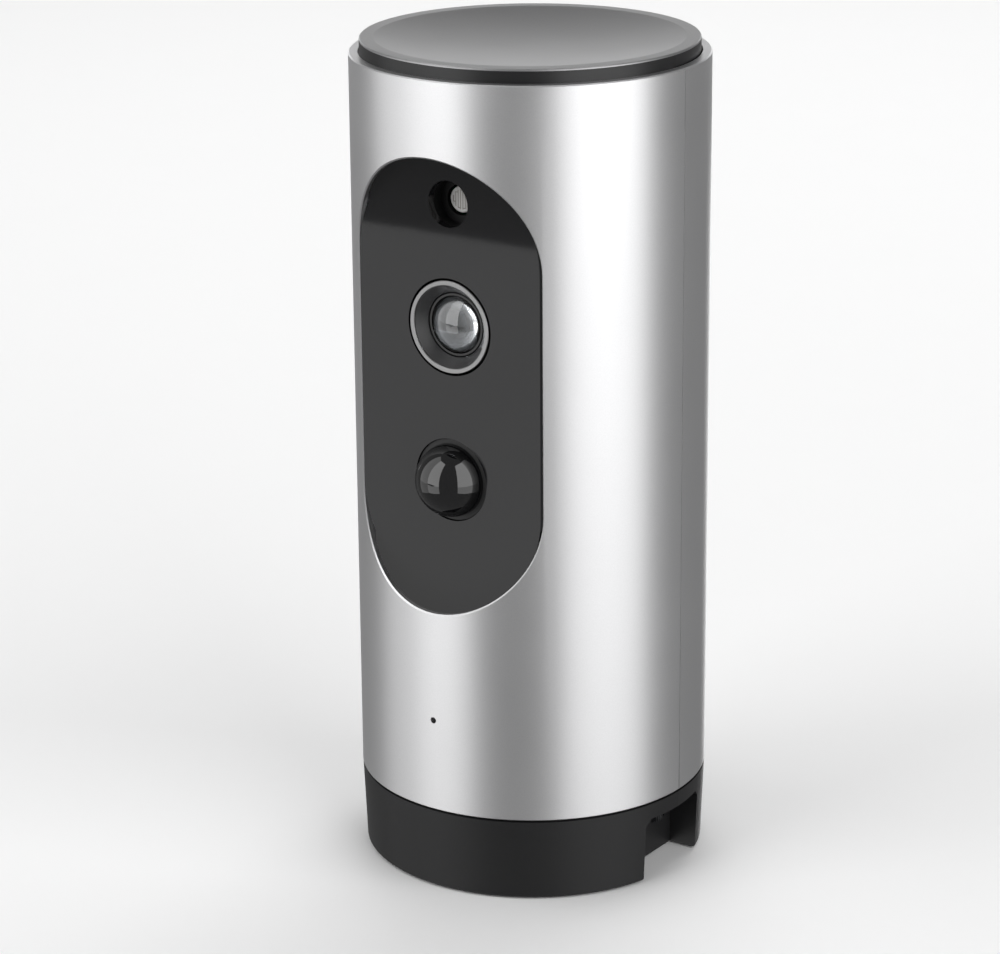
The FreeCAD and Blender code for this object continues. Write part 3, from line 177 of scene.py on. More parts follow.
def polished_polyethylene(name, colour, collar):
    """Moulded black polyethylene: the ball is polished and mirrors the lights, and the collar behind it keeps
    the dull spark-eroded face of its mould. The collar's height along Y parts the two."""
    material, shader, place = blank(name)
    toned(material, shader, place, colour, 6, 0.08)
    along = add(material, "ShaderNodeSeparateXYZ", {"Vector": place})
    behind = add(material, "ShaderNodeMath", {0: along.outputs["Y"], 1: collar}, operation="GREATER_THAN")
    roughened(material, shader, behind.outputs["Value"], 0.04, 0.7)
    grain = add(material, "ShaderNodeTexNoise", {"Vector": place, "Scale": per(2.6), "Detail": 1})
    bumped(material, shader, grain.outputs["Fac"], 0.0008)
    put(shader, IOR=1.54, Specular_IOR_Level=0.85)
    return material


def optical_glass(name, tint):
    """Polished optical glass with an anti-reflection coating, which gives a faint colour at the edge."""
    material, shader, place = blank(name)
    sheen = add(material, "ShaderNodeLayerWeight", {"Blend": 0.35})
    ends = {"Factor": sheen.outputs["Facing"], "A": rgba("#f2f5f7"), "B": rgba(tint)}
    mix = add(material, "ShaderNodeMix", ends, data_type="RGBA")
    join(material, mix.outputs["Result"], shader, "Base Color")
    smear = add(material, "ShaderNodeTexNoise", {"Vector": place, "Scale": per(2.5), "Detail": 3})
    roughened(material, shader, smear.outputs["Fac"], 0.0, 0.02)
    put(shader, IOR=1.62, Transmission_Weight=1.0, Coat_Weight=1.0, Coat_Roughness=0.02, Coat_IOR=1.6)
    return material


def anodised_black(name, colour="#141415"):
    """Turned aluminium anodised black: a fine grain, standing for tool marks, catches a thin dull light."""
    material, shader, place = blank(name)
    toned(material, shader, place, colour, 0.4, 0.12)
    marks = add(material, "ShaderNodeTexNoise", {"Vector": place, "Scale": per(0.15), "Detail": 2})
    bumped(material, shader, marks.outputs["Fac"], 0.004)
    put(shader, Roughness=0.38, IOR=1.6)
    return material


def silicone_rubber(name, colour):
    """Moulded silicone rubber: dull, slightly dusty, and softly lit at grazing angles."""
    material, shader, place = blank(name)
    noise = toned(material, shader, place, colour, 0.35, 0.14, 4)
    bumped(material, shader, noise.outputs["Fac"], 0.015)
    put(shader, Roughness=0.8, IOR=1.43, Sheen_Weight=0.15, Sheen_Roughness=0.5)
    return material


def plated_metal(name, colour, roughness, scratch=0.35):
    """Stamped and plated metal: bright, with faint straight rolling marks along the strip."""
    material, shader, place = blank(name)
    stretch = add(material, "ShaderNodeMapping", {"Vector": place, "Scale": (1.0, 1.0, 0.06)})
    marks = add(material, "ShaderNodeTexNoise",
                {"Vector": stretch.outputs["Vector"], "Scale": per(scratch), "Detail": 4})
    toned(material, shader, place, colour, 1.5, 0.05)
    roughened(material, shader, marks.outputs["Fac"], roughness - 0.06, roughness + 0.08)
    bumped(material, shader, marks.outputs["Fac"], 0.003)
    put(shader, Metallic=1.0)
    return material


def circuit_laminate(name, colour):
    """Glass-fibre circuit board under solder mask: glossy green over a fine woven cloth, with copper
    tracks that show as paler straight lines."""
    material, shader, place = blank(name)
    weave = add(material, "ShaderNodeTexWave", {"Vector": place, "Scale": per(1.6), "Distortion": 0.4},
                wave_profile="TRI")
    paler = rgba([c * 1.15 for c in linear(colour)])
    track = rgba([min(1, c * 1.8) for c in linear(colour)])
    cells = add(material, "ShaderNodeTexBrick", {"Vector": place, "Scale": per(3.4), "Mortar Size": 0.06,
                                                 "Color1": rgba(colour), "Color2": paler, "Mortar": track})
    join(material, cells.outputs["Color"], shader, "Base Color")
    bumped(material, shader, weave.outputs["Fac"], 0.008)
    put(shader, Roughness=0.28, IOR=1.5, Coat_Weight=0.4, Coat_Roughness=0.12)
    return material


def shrink_sleeve(name, colour):
    """Heat-shrunk PVC on a cell: glossy, a little wavy, with fine creases along the cell."""
    material, shader, place = blank(name)
    stretch = add(material, "ShaderNodeMapping", {"Vector": place, "Scale": (1.0, 1.0, 0.15)})
    crease = add(material, "ShaderNodeTexNoise",
                 {"Vector": stretch.outputs["Vector"], "Scale": per(1.4), "Detail": 3})
    toned(material, shader, place, colour, 6, 0.06)
    bumped(material, shader, crease.outputs["Fac"], 0.02)
    put(shader, Roughness=0.22, IOR=1.53, Coat_Weight=0.3)
    return material


def polyester_film(name, colour):
    """Laminated polyester flat cable: white film with the conductors showing as faint lines along it."""
    material, shader, place = blank(name)
    lines = add(material, "ShaderNodeTexWave", {"Vector": place, "Scale": per(3.1)}, bands_direction="X")
    ends = {"Factor": lines.outputs["Fac"], "A": rgba(colour), "B": rgba("#b9b6a8")}
    mix = add(material, "ShaderNodeMix", ends, data_type="RGBA")
    join(material, mix.outputs["Result"], shader, "Base Color")
    put(shader, Roughness=0.3, IOR=1.6)
    return material


def glazed_ceramic(name, colour):
    """Pressed ceramic under a thin clear lacquer: faintly speckled, with a soft gloss."""
    material, shader, place = blank(name)
    toned(material, shader, place, colour, 0.25, 0.07)
    put(shader, Roughness=0.3, IOR=1.55, Coat_Weight=0.6, Coat_Roughness=0.08)
    return material


# ---------------------------------------------------------------- mesh helpers

def paint(node, *materials):
    """Puts materials on a CAD node, in place of its own."""
    piece = NODES[node]
    piece.data.materials.clear()
    for material in materials:
        piece.data.materials.append(material)
    return piece


def as_object(name, mesh):
    """Makes a mesh into an object of the scene."""
    data = bpy.data.meshes.new(name)
    mesh.to_mesh(data)
    mesh.free()
    made = bpy.data.objects.new(name, data)
    bpy.context.scene.collection.objects.link(made)
    return made


def new_piece(name, mesh, body, materials):
    """Makes a mesh into a piece that rides on a body."""
    piece = as_object(name, mesh)
    for material in materials:
        piece.data.materials.append(material)
    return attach(piece, body)


def mm(*corners):
    """Corners given in millimetres, turned to metres."""
    return [(across * MM, up * MM) for across, up in corners]


def circle(mesh, radius, height, steps):
    """The points of a level circle about Z."""
    angles = [2 * pi * k / steps for k in range(steps)]
    return [mesh.verts.new((radius * cos(a), radius * sin(a), height)) for a in angles]


def turned_ring(mesh, profile, steps=96, index=0, matrix=None):
    """Adds a closed solid of revolution about Z from (radius, height) corners in metres."""
    made = []
    for radius, height in profile:
        if radius < ON_AXIS:
            made.append([mesh.verts.new((0, 0, height))])
        else:
            made.append(circle(mesh, radius, height, steps))
    for first, second in zip(made, made[1:] + made[:1]):
        if len(first) == 1 and len(second) == 1:
            continue
        for k in range(steps):
            after = (k + 1) % steps
            corners = [first[k % len(first)], second[k % len(second)]]
            if len(second) > 1:
                corners.append(second[after])
            if len(first) > 1:
                corners.append(first[after])
            face = mesh.faces.new(corners)
            face.material_index = index
            face.smooth = True
    if matrix is not None:
        bmesh.ops.transform(mesh, matrix=matrix, verts=[v for ring in made for v in ring])


def block(mesh, low, high, bevel=0.0, index=0):
    """Adds a block between two corners, with its edges rounded."""
    low, high = Vector(low), Vector(high)
    made = bmesh.ops.create_cube(mesh, size=1.0)["verts"]
    place = Matrix.Translation((low + high) / 2) @ Matrix.Diagonal((*(high - low), 1))
    bmesh.ops.transform(mesh, matrix=place, verts=made)
    edges = {e for v in made for e in v.link_edges}
    faces = {f for v in made for f in v.link_faces}
    for face in faces:
        face.material_index = index
    if bevel:
        result = bmesh.ops.bevel(mesh, geom=list(edges), offset=bevel, segments=2, profile=0.5,
                                 affect="EDGES")
        for face in result["faces"]:
            face.material_index = index
            face.smooth = True


def islands(node):
    """The box of each separate solid of a CAD node, from its lowest to its highest corner."""
    mesh = NODES[node].data
    mark = list(range(len(mesh.vertices)))

    def root(i):
        while mark[i] != i:
            mark[i] = mark[mark[i]]
            i = mark[i]
        return i

    spots = {}
    for vertex in mesh.vertices:
        spot = tuple(round(c, 7) for c in vertex.co)
        mark[root(vertex.index)] = root(spots.setdefault(spot, vertex.index))
    for edge in mesh.edges:
        mark[root(edge.vertices[0])] = root(edge.vertices[1])
    groups = {}
    for vertex in mesh.vertices:
        groups.setdefault(root(vertex.index), []).append(vertex.co)
    found = []
    for points in groups.values():
        low = Vector([min(p[k] for p in points) for k in range(3)])
        high = Vector([max(p[k] for p in points) for k in range(3)])
        found.append((low, high))
    return sorted(found, key=lambda pair: tuple(round(c, 5) for c in pair[0]))


def aimed(axis):
    """The rotation that turns +Z to an axis."""
    return Vector(axis).to_track_quat("Z", "Y").to_matrix().to_4x4()


def cross_head(mesh, low, high, axis, detail):
    """Adds a pan-head screw to a mesh, filling the box of its CAD solid, with a cross recess in its head.

    The head is at the end of the box that the axis points to."""
    middle = (low + high) / 2
    along = Vector(axis)
    length = abs((high - low).dot(along))
    head = max((high - low)[k] for k in range(3) if abs(along[k]) < 0.5) / 2
    shank = head * detail.shank_share
    tall = detail.head_height
    slot = detail.recess_width / 2
    reach = head * 0.62
    corner = reach * 0.78
    turn = Matrix.Translation(middle - along * length / 2) @ aimed(axis)
    seat = length - tall
    crown = tall * 0.22
    lip = length - crown * 0.1
    dish = length - tall * 0.12
    turned_ring(mesh, [(0, 0), (shank * 0.8, 0), (shank, shank * 0.3), (shank, seat), (head, seat),
                       (head, seat + tall * 0.55), (head * 0.93, seat + tall * 0.82),
                       (head * 0.8, length - crown * 0.2), (reach, lip), (reach * 0.98, dish), (0, dish)],
                48, matrix=turn)
    outer = reach * 1.01
    for k in range(4):
        quarter = turn @ Matrix.Rotation(k * pi / 2, 4, "Z")
        made = []
        for x, y in ((slot, slot), (outer, slot), (outer, corner), (corner, outer), (slot, outer)):
            inward = min(1, reach * 0.99 / (x * x + y * y) ** 0.5)
            made.append((x * inward, y * inward))
        bottom = [mesh.verts.new(quarter @ Vector((x, y, length - tall * 0.5))) for x, y in made]
        top = [mesh.verts.new(quarter @ Vector((x, y, lip))) for x, y in made]
        mesh.faces.new(bottom[::-1])
        mesh.faces.new(top)
        for a in range(len(made)):
            b = (a + 1) % len(made)
            mesh.faces.new((bottom[a], bottom[b], top[b], top[a]))


def screws(node, axis, body, material, detail):
    """Replaces every screw of a CAD node by one with a cross recess. The axis may depend on the screw."""
    mesh = bmesh.new()
    for low, high in islands(node):
        cross_head(mesh, low, high, axis(low, high) if callable(axis) else axis, detail)
    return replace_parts(new_piece(node + "_made", mesh, body, [material]), node)


# ---------------------------------------------------------------- settings

def colour_setting(name, text, description):
    """A colour that a user can change, from its sRGB hex."""
    return FloatVectorProperty(name=name, description=description, subtype="COLOR", min=0, max=1,
                               default=linear(text))


def share_setting(name, value, description):
    """A setting from nought to one."""
    return FloatProperty(name=name, description=description, subtype="FACTOR", min=0, max=1, default=value)


def length_setting(name, value, description):
    """A length in metres."""
    return FloatProperty(name=name, description=description, unit="LENGTH", default=value)


def angle_setting(name, value, description):
    """An angle in radians."""
    return FloatProperty(name=name, description=description, unit="ROTATION", default=value)


def level_setting(name, value, description):
    """A plain number, such as a brightness."""
    return FloatProperty(name=name, description=description, default=value)


class FinishSettings(bpy.types.PropertyGroup):
    """Colours and sheens of the outside."""

    sleeve: colour_setting("Sleeve", "#e7e7e8", "Colour of the anodised sleeve")
    sleeve_roughness: share_setting("Sleeve roughness", 0.38, "How far the blasted sleeve spreads light")
    grit: FloatProperty(name="Grit", description="Grain of the blasted metal in millimetres", min=0.05,
                        max=1, default=0.22)
    plate: colour_setting("Button plate", "#b4b4b5", "Colour of the dished plate")
    plate_roughness: share_setting("Plate roughness", 0.42, "How far the dished plate spreads light")
    black: colour_setting("Black plastic", "#181819", "Colour of the moulded base and button body")
    panel: colour_setting("Panel", "#151516", "Colour of the polished front panel")
    bezel: colour_setting("Lens bezel", "#969696", "Colour of the ring round the lens")
    wrap: colour_setting("Cell wrap", "#2f6f86", "Colour of the sleeve on the battery cells")


class DetailSettings(bpy.types.PropertyGroup):
    """Sizes of the finely made small parts."""

    head_height: length_setting("Screw head", 1.4 * MM, "Height of a screw's head")
    shank_share: share_setting("Shank", 0.5, "Shank radius as a share of the head's")
    recess_width: length_setting("Recess", 0.62 * MM, "Width of the cross recess's arms")
    track_bars: IntProperty(name="Track bars", description="Upright bars of the photocell's winding track",
                            default=8, min=3)
    track_width: length_setting("Track width", 0.17 * MM, "Width of the photocell's track")
    knob_ribs: IntProperty(name="Knob ribs", description="Grip ribs on the power switch", default=3, min=1)
    contacts: IntProperty(name="Socket contacts", description="Gold contacts in the power socket", default=5,
                          min=1)


class StudioSettings(bpy.types.PropertyGroup):
    """The camera and the lights."""

    focal: level_setting("Lens", 125.04, "Focal length in millimetres on a 36 mm sensor")
    azimuth: angle_setting("Azimuth", radians(34.1),
                           "Camera's angle round the object from the front, to the right")
    pitch: angle_setting("Pitch", 0.3189, "How far the camera looks down")
    swing: angle_setting("Swing", 0.0098, "How far the camera looks left of the axis")
    roll: angle_setting("Roll", -0.0082, "Camera's turn about its own line of sight")
    distance: length_setting("Distance", 0.56517, "Camera's distance from the axis along the floor")
    height: length_setting("Height", 0.25223, "Camera's height over the floor")
    floor: colour_setting("Floor", "#f2f2f2", "Colour of the floor")
    left_glow: level_setting("Left softbox", 1.08, "Brightness of the upright softbox at the front left")
    right_glow: level_setting("Right softbox", 1.1, "Brightness of the upright softbox at the right")
    fill_glow: level_setting("Fill", 1.25,
                             "Brightness of the low screen behind, which the dished plate mirrors")
    rim_glow: level_setting("Rim", 2.6, "Brightness of the low strip that edges the sleeve")
    floor_power: FloatProperty(name="Floor light", description="Power of the light over the floor behind",
                               unit="POWER", default=8.0)
    room: level_setting("Room", 0.19, "Brightness of the room all round")
    backdrop: colour_setting("Backdrop", "#f6f6f6", "Colour of the wall behind the floor")


# ---------------------------------------------------------------- operators

def settings():
    """The three groups of settings."""
    scene = bpy.context.scene
    return scene.batcam_finish, scene.batcam_detail, scene.batcam_studio


class BATCAM_OT_sleeve(bpy.types.Operator):
    """Finish the two sleeve halves, the frame inside the rear one, and its magnets and catch plates"""

    bl_idname = "batcam.sleeve"
    bl_label = "Sleeve"

    def execute(self, context):
        look = settings()[0]
        outside = blasted_aluminium("Blasted anodised aluminium", look.sleeve, look.sleeve_roughness,
                                    look.grit, 0.0035)
        # The flat panel stands back from the curved shell, and would mirror the window's rim as a dark arc.
        paint("front_shell", outside).visible_glossy = False
        paint("rear_shell", outside)
        paint("cover_frame", moulded_abs("Moulded glass-filled nylon", "#26272a", 0.55, 0.5, 0.02))
        paint("cover_catch_plates", plated_metal("Tin-plated steel", "#b9bab8", 0.25))
        paint("cover_magnets", plated_metal("Nickel-plated magnet", "#c3c4c4", 0.14))
        return {"FINISHED"}


class BATCAM_OT_top_button(bpy.types.Operator):
    """Finish the dished plate, its black body, and the springs and screws under it"""

    bl_idname = "batcam.top_button"
    bl_label = "Top button"

    def execute(self, context):
        look, detail, _ = settings()
        paint("cap_plate", blasted_aluminium("Blasted grey aluminium", look.plate, look.plate_roughness,
                                             look.grit, 0.006, 0.09))
        paint("cap_body", moulded_abs("Moulded satin ABS", look.black, 0.36, 0.3, 0.006))
        paint("button_springs", plated_metal("Drawn spring wire", "#a4a6a8", 0.3))
        steel = plated_metal("Zinc-plated screw", "#8d8f92", 0.32)
        screws("cap_screws", (0, 0, -1), "top_button", steel, detail)
        return {"FINISHED"}


class BATCAM_OT_base(bpy.types.Operator):
    """Finish the base housing, its foot pad and the screws under it"""

    bl_idname = "batcam.base"
    bl_label = "Base"

    def execute(self, context):
        look, detail, _ = settings()
        paint("base_housing", moulded_abs("Moulded black ABS", look.black, 0.42, 0.3, 0.010, 0.4))
        paint("foot_pad", silicone_rubber("Moulded foot rubber", "#1d1d1e"))
        black = plated_metal("Black oxide screw", "#1a1a1b", 0.4)
        screws("base_screws", (0, 0, -1), "camera", black, detail)
        return {"FINISHED"}


class BATCAM_OT_panel(bpy.types.Operator):
    """Finish the polished front panel, its tape and the frame behind it"""

    bl_idname = "batcam.panel"
    bl_label = "Front panel"

    def execute(self, context):
        look = settings()[0]
        paint("front_panel", polished_polycarbonate("Polished polycarbonate", look.panel, 0.02, 0.34))
        paint("panel_tape", silicone_rubber("Foam tape", "#17171a"))
        paint("front_frame", moulded_abs("Moulded frame plastic", "#26272a", 0.55, 0.5, 0.02))
        return {"FINISHED"}


class BATCAM_OT_lens(bpy.types.Operator):
    """Finish the lens and add the iris and retaining ring inside its barrel"""

    bl_idname = "batcam.lens"
    bl_label = "Lens"

    def execute(self, context):
        look = settings()[0]
        paint("lens_bezel", blasted_aluminium("Turned satin aluminium", look.bezel, 0.3, 0.2, 0.002, 0.04))
        paint("lens_funnel", moulded_abs("Matt moulded ABS", "#2c2c2d", 0.42, 0.3, 0.004))
        barrel = paint("lens_barrel", anodised_black("Black anodised aluminium"))
        paint("front_lens", optical_glass("Coated optical glass", "#c9d4e4"))
        paint("inner_lens", optical_glass("Coated inner glass", "#b8a4d8"))
        paint("lens_holder", moulded_abs("Moulded lens holder", "#232426", 0.5))
        paint("ir_filter", optical_glass("Infrared filter glass", "#e8a0b4"))
        low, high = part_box("front_lens")
        inner_low, inner_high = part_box("inner_lens")
        bore = (inner_high.x - inner_low.x) / 2 / MM
        snug = bore * 0.985
        mouth = bore * 0.74
        depth = (inner_low.y - high.y) / MM
        turn = Matrix.Translation(Vector((0, high.y, (low.z + high.z) / 2))) @ aimed((0, 1, 0))
        mesh = bmesh.new()
        turned_ring(mesh, mm((1.9, 0.05), (snug, 0.05), (snug, 0.5), (2.4, 0.5)), matrix=turn)
        turned_ring(mesh, mm((mouth, depth - 1), (snug, depth - 1.3), (snug, depth - 0.1),
                             (mouth, depth - 0.1)), matrix=turn)
        new_piece("lens_iris", mesh, "camera", [barrel.data.materials[0]])
        return {"FINISHED"}


class BATCAM_OT_motion_dome(bpy.types.Operator):
    """Finish the motion sensor and its dome, and the microphone in its boot"""

    bl_idname = "batcam.motion_dome"
    bl_label = "Motion dome"

    def execute(self, context):
        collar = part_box("front_panel")[0].y + 0.27 * MM
        paint("pir_dome", polished_polyethylene("Polished black polyethylene", "#0a0a0b", collar))
        can = plated_metal("Nickel-plated can", "#b5b6b4", 0.22)
        paint("pir_sensor", can)
        paint("mic_capsule", can)
        paint("mic_boot", silicone_rubber("Moulded boot rubber", "#2a2a2c"))
        return {"FINISHED"}


class BATCAM_OT_light_sensor(bpy.types.Operator):
    """Finish the light sensor's well and make its photocell with a winding track"""

    bl_idname = "batcam.light_sensor"
    bl_label = "Light sensor"

    def execute(self, context):
        detail = settings()[1]
        paint("light_sensor_shroud", moulded_abs("Matt black well", "#0b0b0c", 0.55, 0.3, 0.008, 0.3))
        low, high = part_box("light_sensor")
        radius = (high.x - low.x) / 2
        deep = high.y - low.y
        turn = Matrix.Translation(Vector((0, high.y, (low.z + high.z) / 2))) @ aimed((0, -1, 0))
        mesh = bmesh.new()
        face = deep - 0.08 * MM
        turned_ring(mesh, [(0, 0), (radius, 0), (radius, deep - 0.3 * MM),
                           (radius - 0.06 * MM, deep - 0.1 * MM), (radius - 0.2 * MM, deep),
                           (radius - 0.34 * MM, deep - 0.03 * MM), (radius - 0.4 * MM, face), (0, face)])
        half = radius - 0.62 * MM
        track = detail.track_width / 2
        bars = []
        for bar in range(detail.track_bars):
            x = -half + 2 * half * bar / (detail.track_bars - 1)
            bars.append((x, max(0.35 * MM, ((radius - 0.5 * MM) ** 2 - x * x) ** 0.5 - track)))
        for bar, (x, reach) in enumerate(bars):
            block(mesh, (x - track, -reach, face), (x + track, reach, face + 0.03 * MM), 0, 1)
            if bar + 1 < len(bars):
                after, next_reach = bars[bar + 1]
                end = (1 if bar % 2 else -1) * (min(reach, next_reach) - track)
                block(mesh, (x, end - track, face), (after, end + track, face + 0.031 * MM), 0, 1)
        bmesh.ops.transform(mesh, matrix=turn, verts=mesh.verts)
        ceramic = glazed_ceramic("Lacquered ceramic", "#bdbcba")
        tracks = glazed_ceramic("Printed sulphide track", "#8d8983")
        piece = new_piece("photocell", mesh, "camera", [ceramic, tracks])
        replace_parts(piece, "light_sensor")
        return {"FINISHED"}


class BATCAM_OT_power_port(bpy.types.Operator):
    """Finish the socket and the switch body, and make the socket's contacts and the ribbed switch knob"""

    bl_idname = "batcam.power_port"
    bl_label = "Power port"

    def execute(self, context):
        detail = settings()[1]
        tin = plated_metal("Stamped tin-plated steel", "#b9bab8", 0.28)
        paint("usb_socket", tin)
        paint("power_switch_body", tin)
        low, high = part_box("usb_socket")
        middle = (low + high) / 2
        mesh = bmesh.new()
        for k in range(detail.contacts):
            y = middle.y + (k - (detail.contacts - 1) / 2) * 0.65 * MM
            block(mesh, (low.x + 1.2 * MM, y - 0.16 * MM, middle.z + 0.09 * MM),
                  (high.x - 0.9 * MM, y + 0.16 * MM, middle.z + 0.42 * MM), 0.03 * MM)
        gold = plated_metal("Gold-plated bronze", "#d8b25a", 0.2)
        new_piece("socket_contacts", mesh, "camera", [gold])
        low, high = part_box("power_switch_knob")
        mesh = bmesh.new()
        stem = high.x - 1.1 * MM
        block(mesh, low, (stem, high.y, high.z), 0.08 * MM)
        block(mesh, (stem - 0.05 * MM, low.y, low.z), (high.x - 0.3 * MM, high.y, high.z), 0.12 * MM)
        pitch = (high.y - low.y) / detail.knob_ribs
        for k in range(detail.knob_ribs):
            start = low.y + pitch * (k + 0.2)
            block(mesh, (high.x - 0.45 * MM, start, low.z + 0.08 * MM),
                  (high.x, start + pitch * 0.6, high.z - 0.08 * MM), 0.1 * MM)
        knob = moulded_abs("Moulded acetal knob", "#1d1e20", 0.35, 0.4, 0.004)
        piece = new_piece("ribbed_knob", mesh, "power_switch", [knob])
        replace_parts(piece, "power_switch_knob")
        return {"FINISHED"}


class BATCAM_OT_chassis(bpy.types.Operator):
    """Finish the chassis and the battery cradle"""

    bl_idname = "batcam.chassis"
    bl_label = "Chassis"

    def execute(self, context):
        paint("chassis", moulded_abs("Moulded glass-filled ABS", "#33353a", 0.5, 0.55, 0.02))
        paint("battery_cradle", moulded_abs("Moulded cradle ABS", "#2b2d30", 0.48, 0.5, 0.02))
        return {"FINISHED"}


class BATCAM_OT_batteries(bpy.types.Operator):
    """Make the two wrapped cells and finish their contacts"""

    bl_idname = "batcam.batteries"
    bl_label = "Batteries"

    def execute(self, context):
        look, detail, _ = settings()
        wrap = shrink_sleeve("Heat-shrunk PVC sleeve", look.wrap)
        can = plated_metal("Nickel-plated cell can", "#b5b6b4", 0.24)
        ring = glazed_ceramic("Pressed fibre washer", "#e4e1d6")
        for side in ("left", "right"):
            low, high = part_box("battery_cell_" + side)
            radius = (high.x - low.x) / 2 / MM
            tall = (high.z - low.z) / MM
            skin = radius - 0.12
            groove = radius - 0.22
            inside = radius - 0.16
            shoulder = tall - 1.7
            mesh = bmesh.new()
            turned_ring(mesh, mm((0, 0), (radius - 0.7, 0), (skin, 0.5), (skin, tall - 2.6),
                                 (radius - 0.9, shoulder), (0, shoulder)), index=1)
            turned_ring(mesh, mm((radius - 1.5, 0), (radius - 0.5, 0.02), (radius - 0.1, 0.3), (radius, 0.8),
                                 (radius, tall - 4.6), (groove, tall - 4.2), (groove, tall - 3.9),
                                 (radius, tall - 3.5), (radius, tall - 2.2), (radius - 0.35, tall - 1.6),
                                 (radius - 2.2, tall - 1.45), (radius - 2.2, tall - 1.62),
                                 (radius - 0.6, tall - 1.75), (inside, tall - 2.5), (inside, 0.7),
                                 (radius - 1.5, 0.12)))
            turned_ring(mesh, mm((3.5, shoulder), (radius - 2.3, shoulder), (radius - 2.3, tall - 1.5),
                                 (3.5, tall - 1.5)), index=2)
            turned_ring(mesh, mm((0, shoulder), (3.2, shoulder), (3.15, tall - 0.25), (2.9, tall),
                                 (0.9, tall), (0.7, tall - 0.12), (0, tall - 0.12)), index=1)
            centre = (low + high) / 2
            place = Matrix.Translation((centre.x, centre.y, low.z))
            bmesh.ops.transform(mesh, matrix=place, verts=mesh.verts)
            piece = new_piece("wrapped_cell_" + side, mesh, "camera", [wrap, can, ring])
            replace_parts(piece, "battery_cell_" + side)
        paint("battery_springs", plated_metal("Nickel-plated leaf spring", "#a4a6a8", 0.24))
        paint("battery_plates", plated_metal("Nickel-plated contact", "#b9bab8", 0.2))
        steel = plated_metal("Zinc-plated steel", "#8d8f92", 0.32)
        screws("cradle_screws", (0, 1, 0), "camera", steel, detail)
        return {"FINISHED"}


class BATCAM_OT_service_board(bpy.types.Operator):
    """Finish every board and switch, and make the service board's small parts and the board screws"""

    bl_idname = "batcam.service_board"
    bl_label = "Service board"

    def execute(self, context):
        mask = circuit_laminate("Solder-masked laminate", "#1f5a3a")
        for node in ("service_board", "main_board", "sensor_board", "pir_board", "light_sensor_board",
                     "port_board", "antenna_board", "switch_board"):
            paint(node, mask)
        paint("card_socket", plated_metal("Stamped stainless steel", "#bcbcba", 0.3))
        case = moulded_abs("Moulded switch case", "#1d1e20", 0.4, 0.4, 0.006)
        for node in ("reset_switch", "top_switch", "ribbon_sockets"):
            paint(node, case)
        paint("reset_button", moulded_abs("Moulded red acetal", "#b4402f", 0.35, 0.4, 0.004))
        low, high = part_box("service_board")
        socket_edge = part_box("card_socket")[1].x
        switch_low, switch_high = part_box("reset_switch")
        mesh = bmesh.new()
        lines = [low.z + (2.2 + 2.2 * line) * MM for line in range(5)]
        spots = [(socket_edge + (1.6 + 2.5 * column) * MM, z) for column in range(3) for z in lines]
        spots += [(switch_high.x + 1.5 * MM, z) for z in lines]
        for number, (x, z) in enumerate(spots):
            if x + 0.9 * MM > switch_low.x and x < switch_low.x + 3 * MM:
                continue
            tall = (0.45, 0.6, 0.5)[number % 3] * MM
            body = (1, 2, 1, 3)[number % 4]
            block(mesh, (x - 0.5 * MM, high.y, z - 0.4 * MM), (x + 0.5 * MM, high.y + tall, z + 0.4 * MM),
                  0.05 * MM, body)
            for side in (-1, 1):
                end = x + side * 0.65 * MM
                block(mesh, (end - 0.2 * MM, high.y, z - 0.43 * MM),
                      (end + 0.2 * MM, high.y + tall * 1.04, z + 0.43 * MM), 0.06 * MM)
        tin = plated_metal("Solder", "#c2c3c0", 0.3)
        brown = glazed_ceramic("Fired capacitor ceramic", "#8d6a4a")
        black = moulded_abs("Moulded epoxy", "#1b1c1e", 0.5, 0.3, 0.004)
        grey = glazed_ceramic("Fired resistor ceramic", "#5d6066")
        new_piece("service_components", mesh, "camera", [tin, brown, black, grey])
        steel = plated_metal("Board screw steel", "#8d8f92", 0.32)

        def outward(_, far):
            """Service board screws face the back, and the other boards' face the front."""
            return (0, 1, 0) if far.y > high.y else (0, -1, 0)

        screws("board_screws", outward, "camera", steel, settings()[1])
        return {"FINISHED"}


class BATCAM_OT_main_board(bpy.types.Operator):
    """Finish the chips, radio shield, standoffs and flat cable round the main board"""

    bl_idname = "batcam.main_board"
    bl_label = "Main board"

    def execute(self, context):
        chip = moulded_abs("Moulded chip epoxy", "#202124", 0.45, 0.3, 0.004)
        paint("board_chips", chip)
        paint("image_sensor", chip)
        paint("radio_module", plated_metal("Stamped radio shield", "#c0c1be", 0.26))
        paint("board_standoffs", plated_metal("Turned brass", "#b79a55", 0.25))
        paint("ribbon_cable", polyester_film("Polyester flat cable", "#dedcd4"))
        return {"FINISHED"}


def hang(name, place, facing, across, high, power):
    """A rectangular area light with its back to a direction, out of the camera's sight."""
    data = bpy.data.lights.new(name, "AREA")
    data.shape = "RECTANGLE"
    data.size, data.size_y = across, high
    data.energy = power
    light = bpy.data.objects.new(name, data)
    light.location = place
    light.rotation_euler = facing.to_track_quat("Z", "Y").to_euler()
    light.visible_camera = False
    bpy.context.scene.collection.objects.link(light)
    return light


def softbox(name, azimuth, spread, lowest, highest, glow, away=2.0):
    """An upright softbox, given by the degrees it fills seen from the object and by its brightness."""
    bottom, top = (away * tan(radians(angle)) for angle in (lowest, highest))
    across = 2 * away * tan(radians(spread / 2))
    out = Vector((sin(radians(azimuth)), -cos(radians(azimuth)), 0))
    middle = Vector((0, 0, EYE_LEVEL + (bottom + top) / 2))
    high = top - bottom
    return hang(name, middle + out * away, out, across, high, glow * pi * across * high)


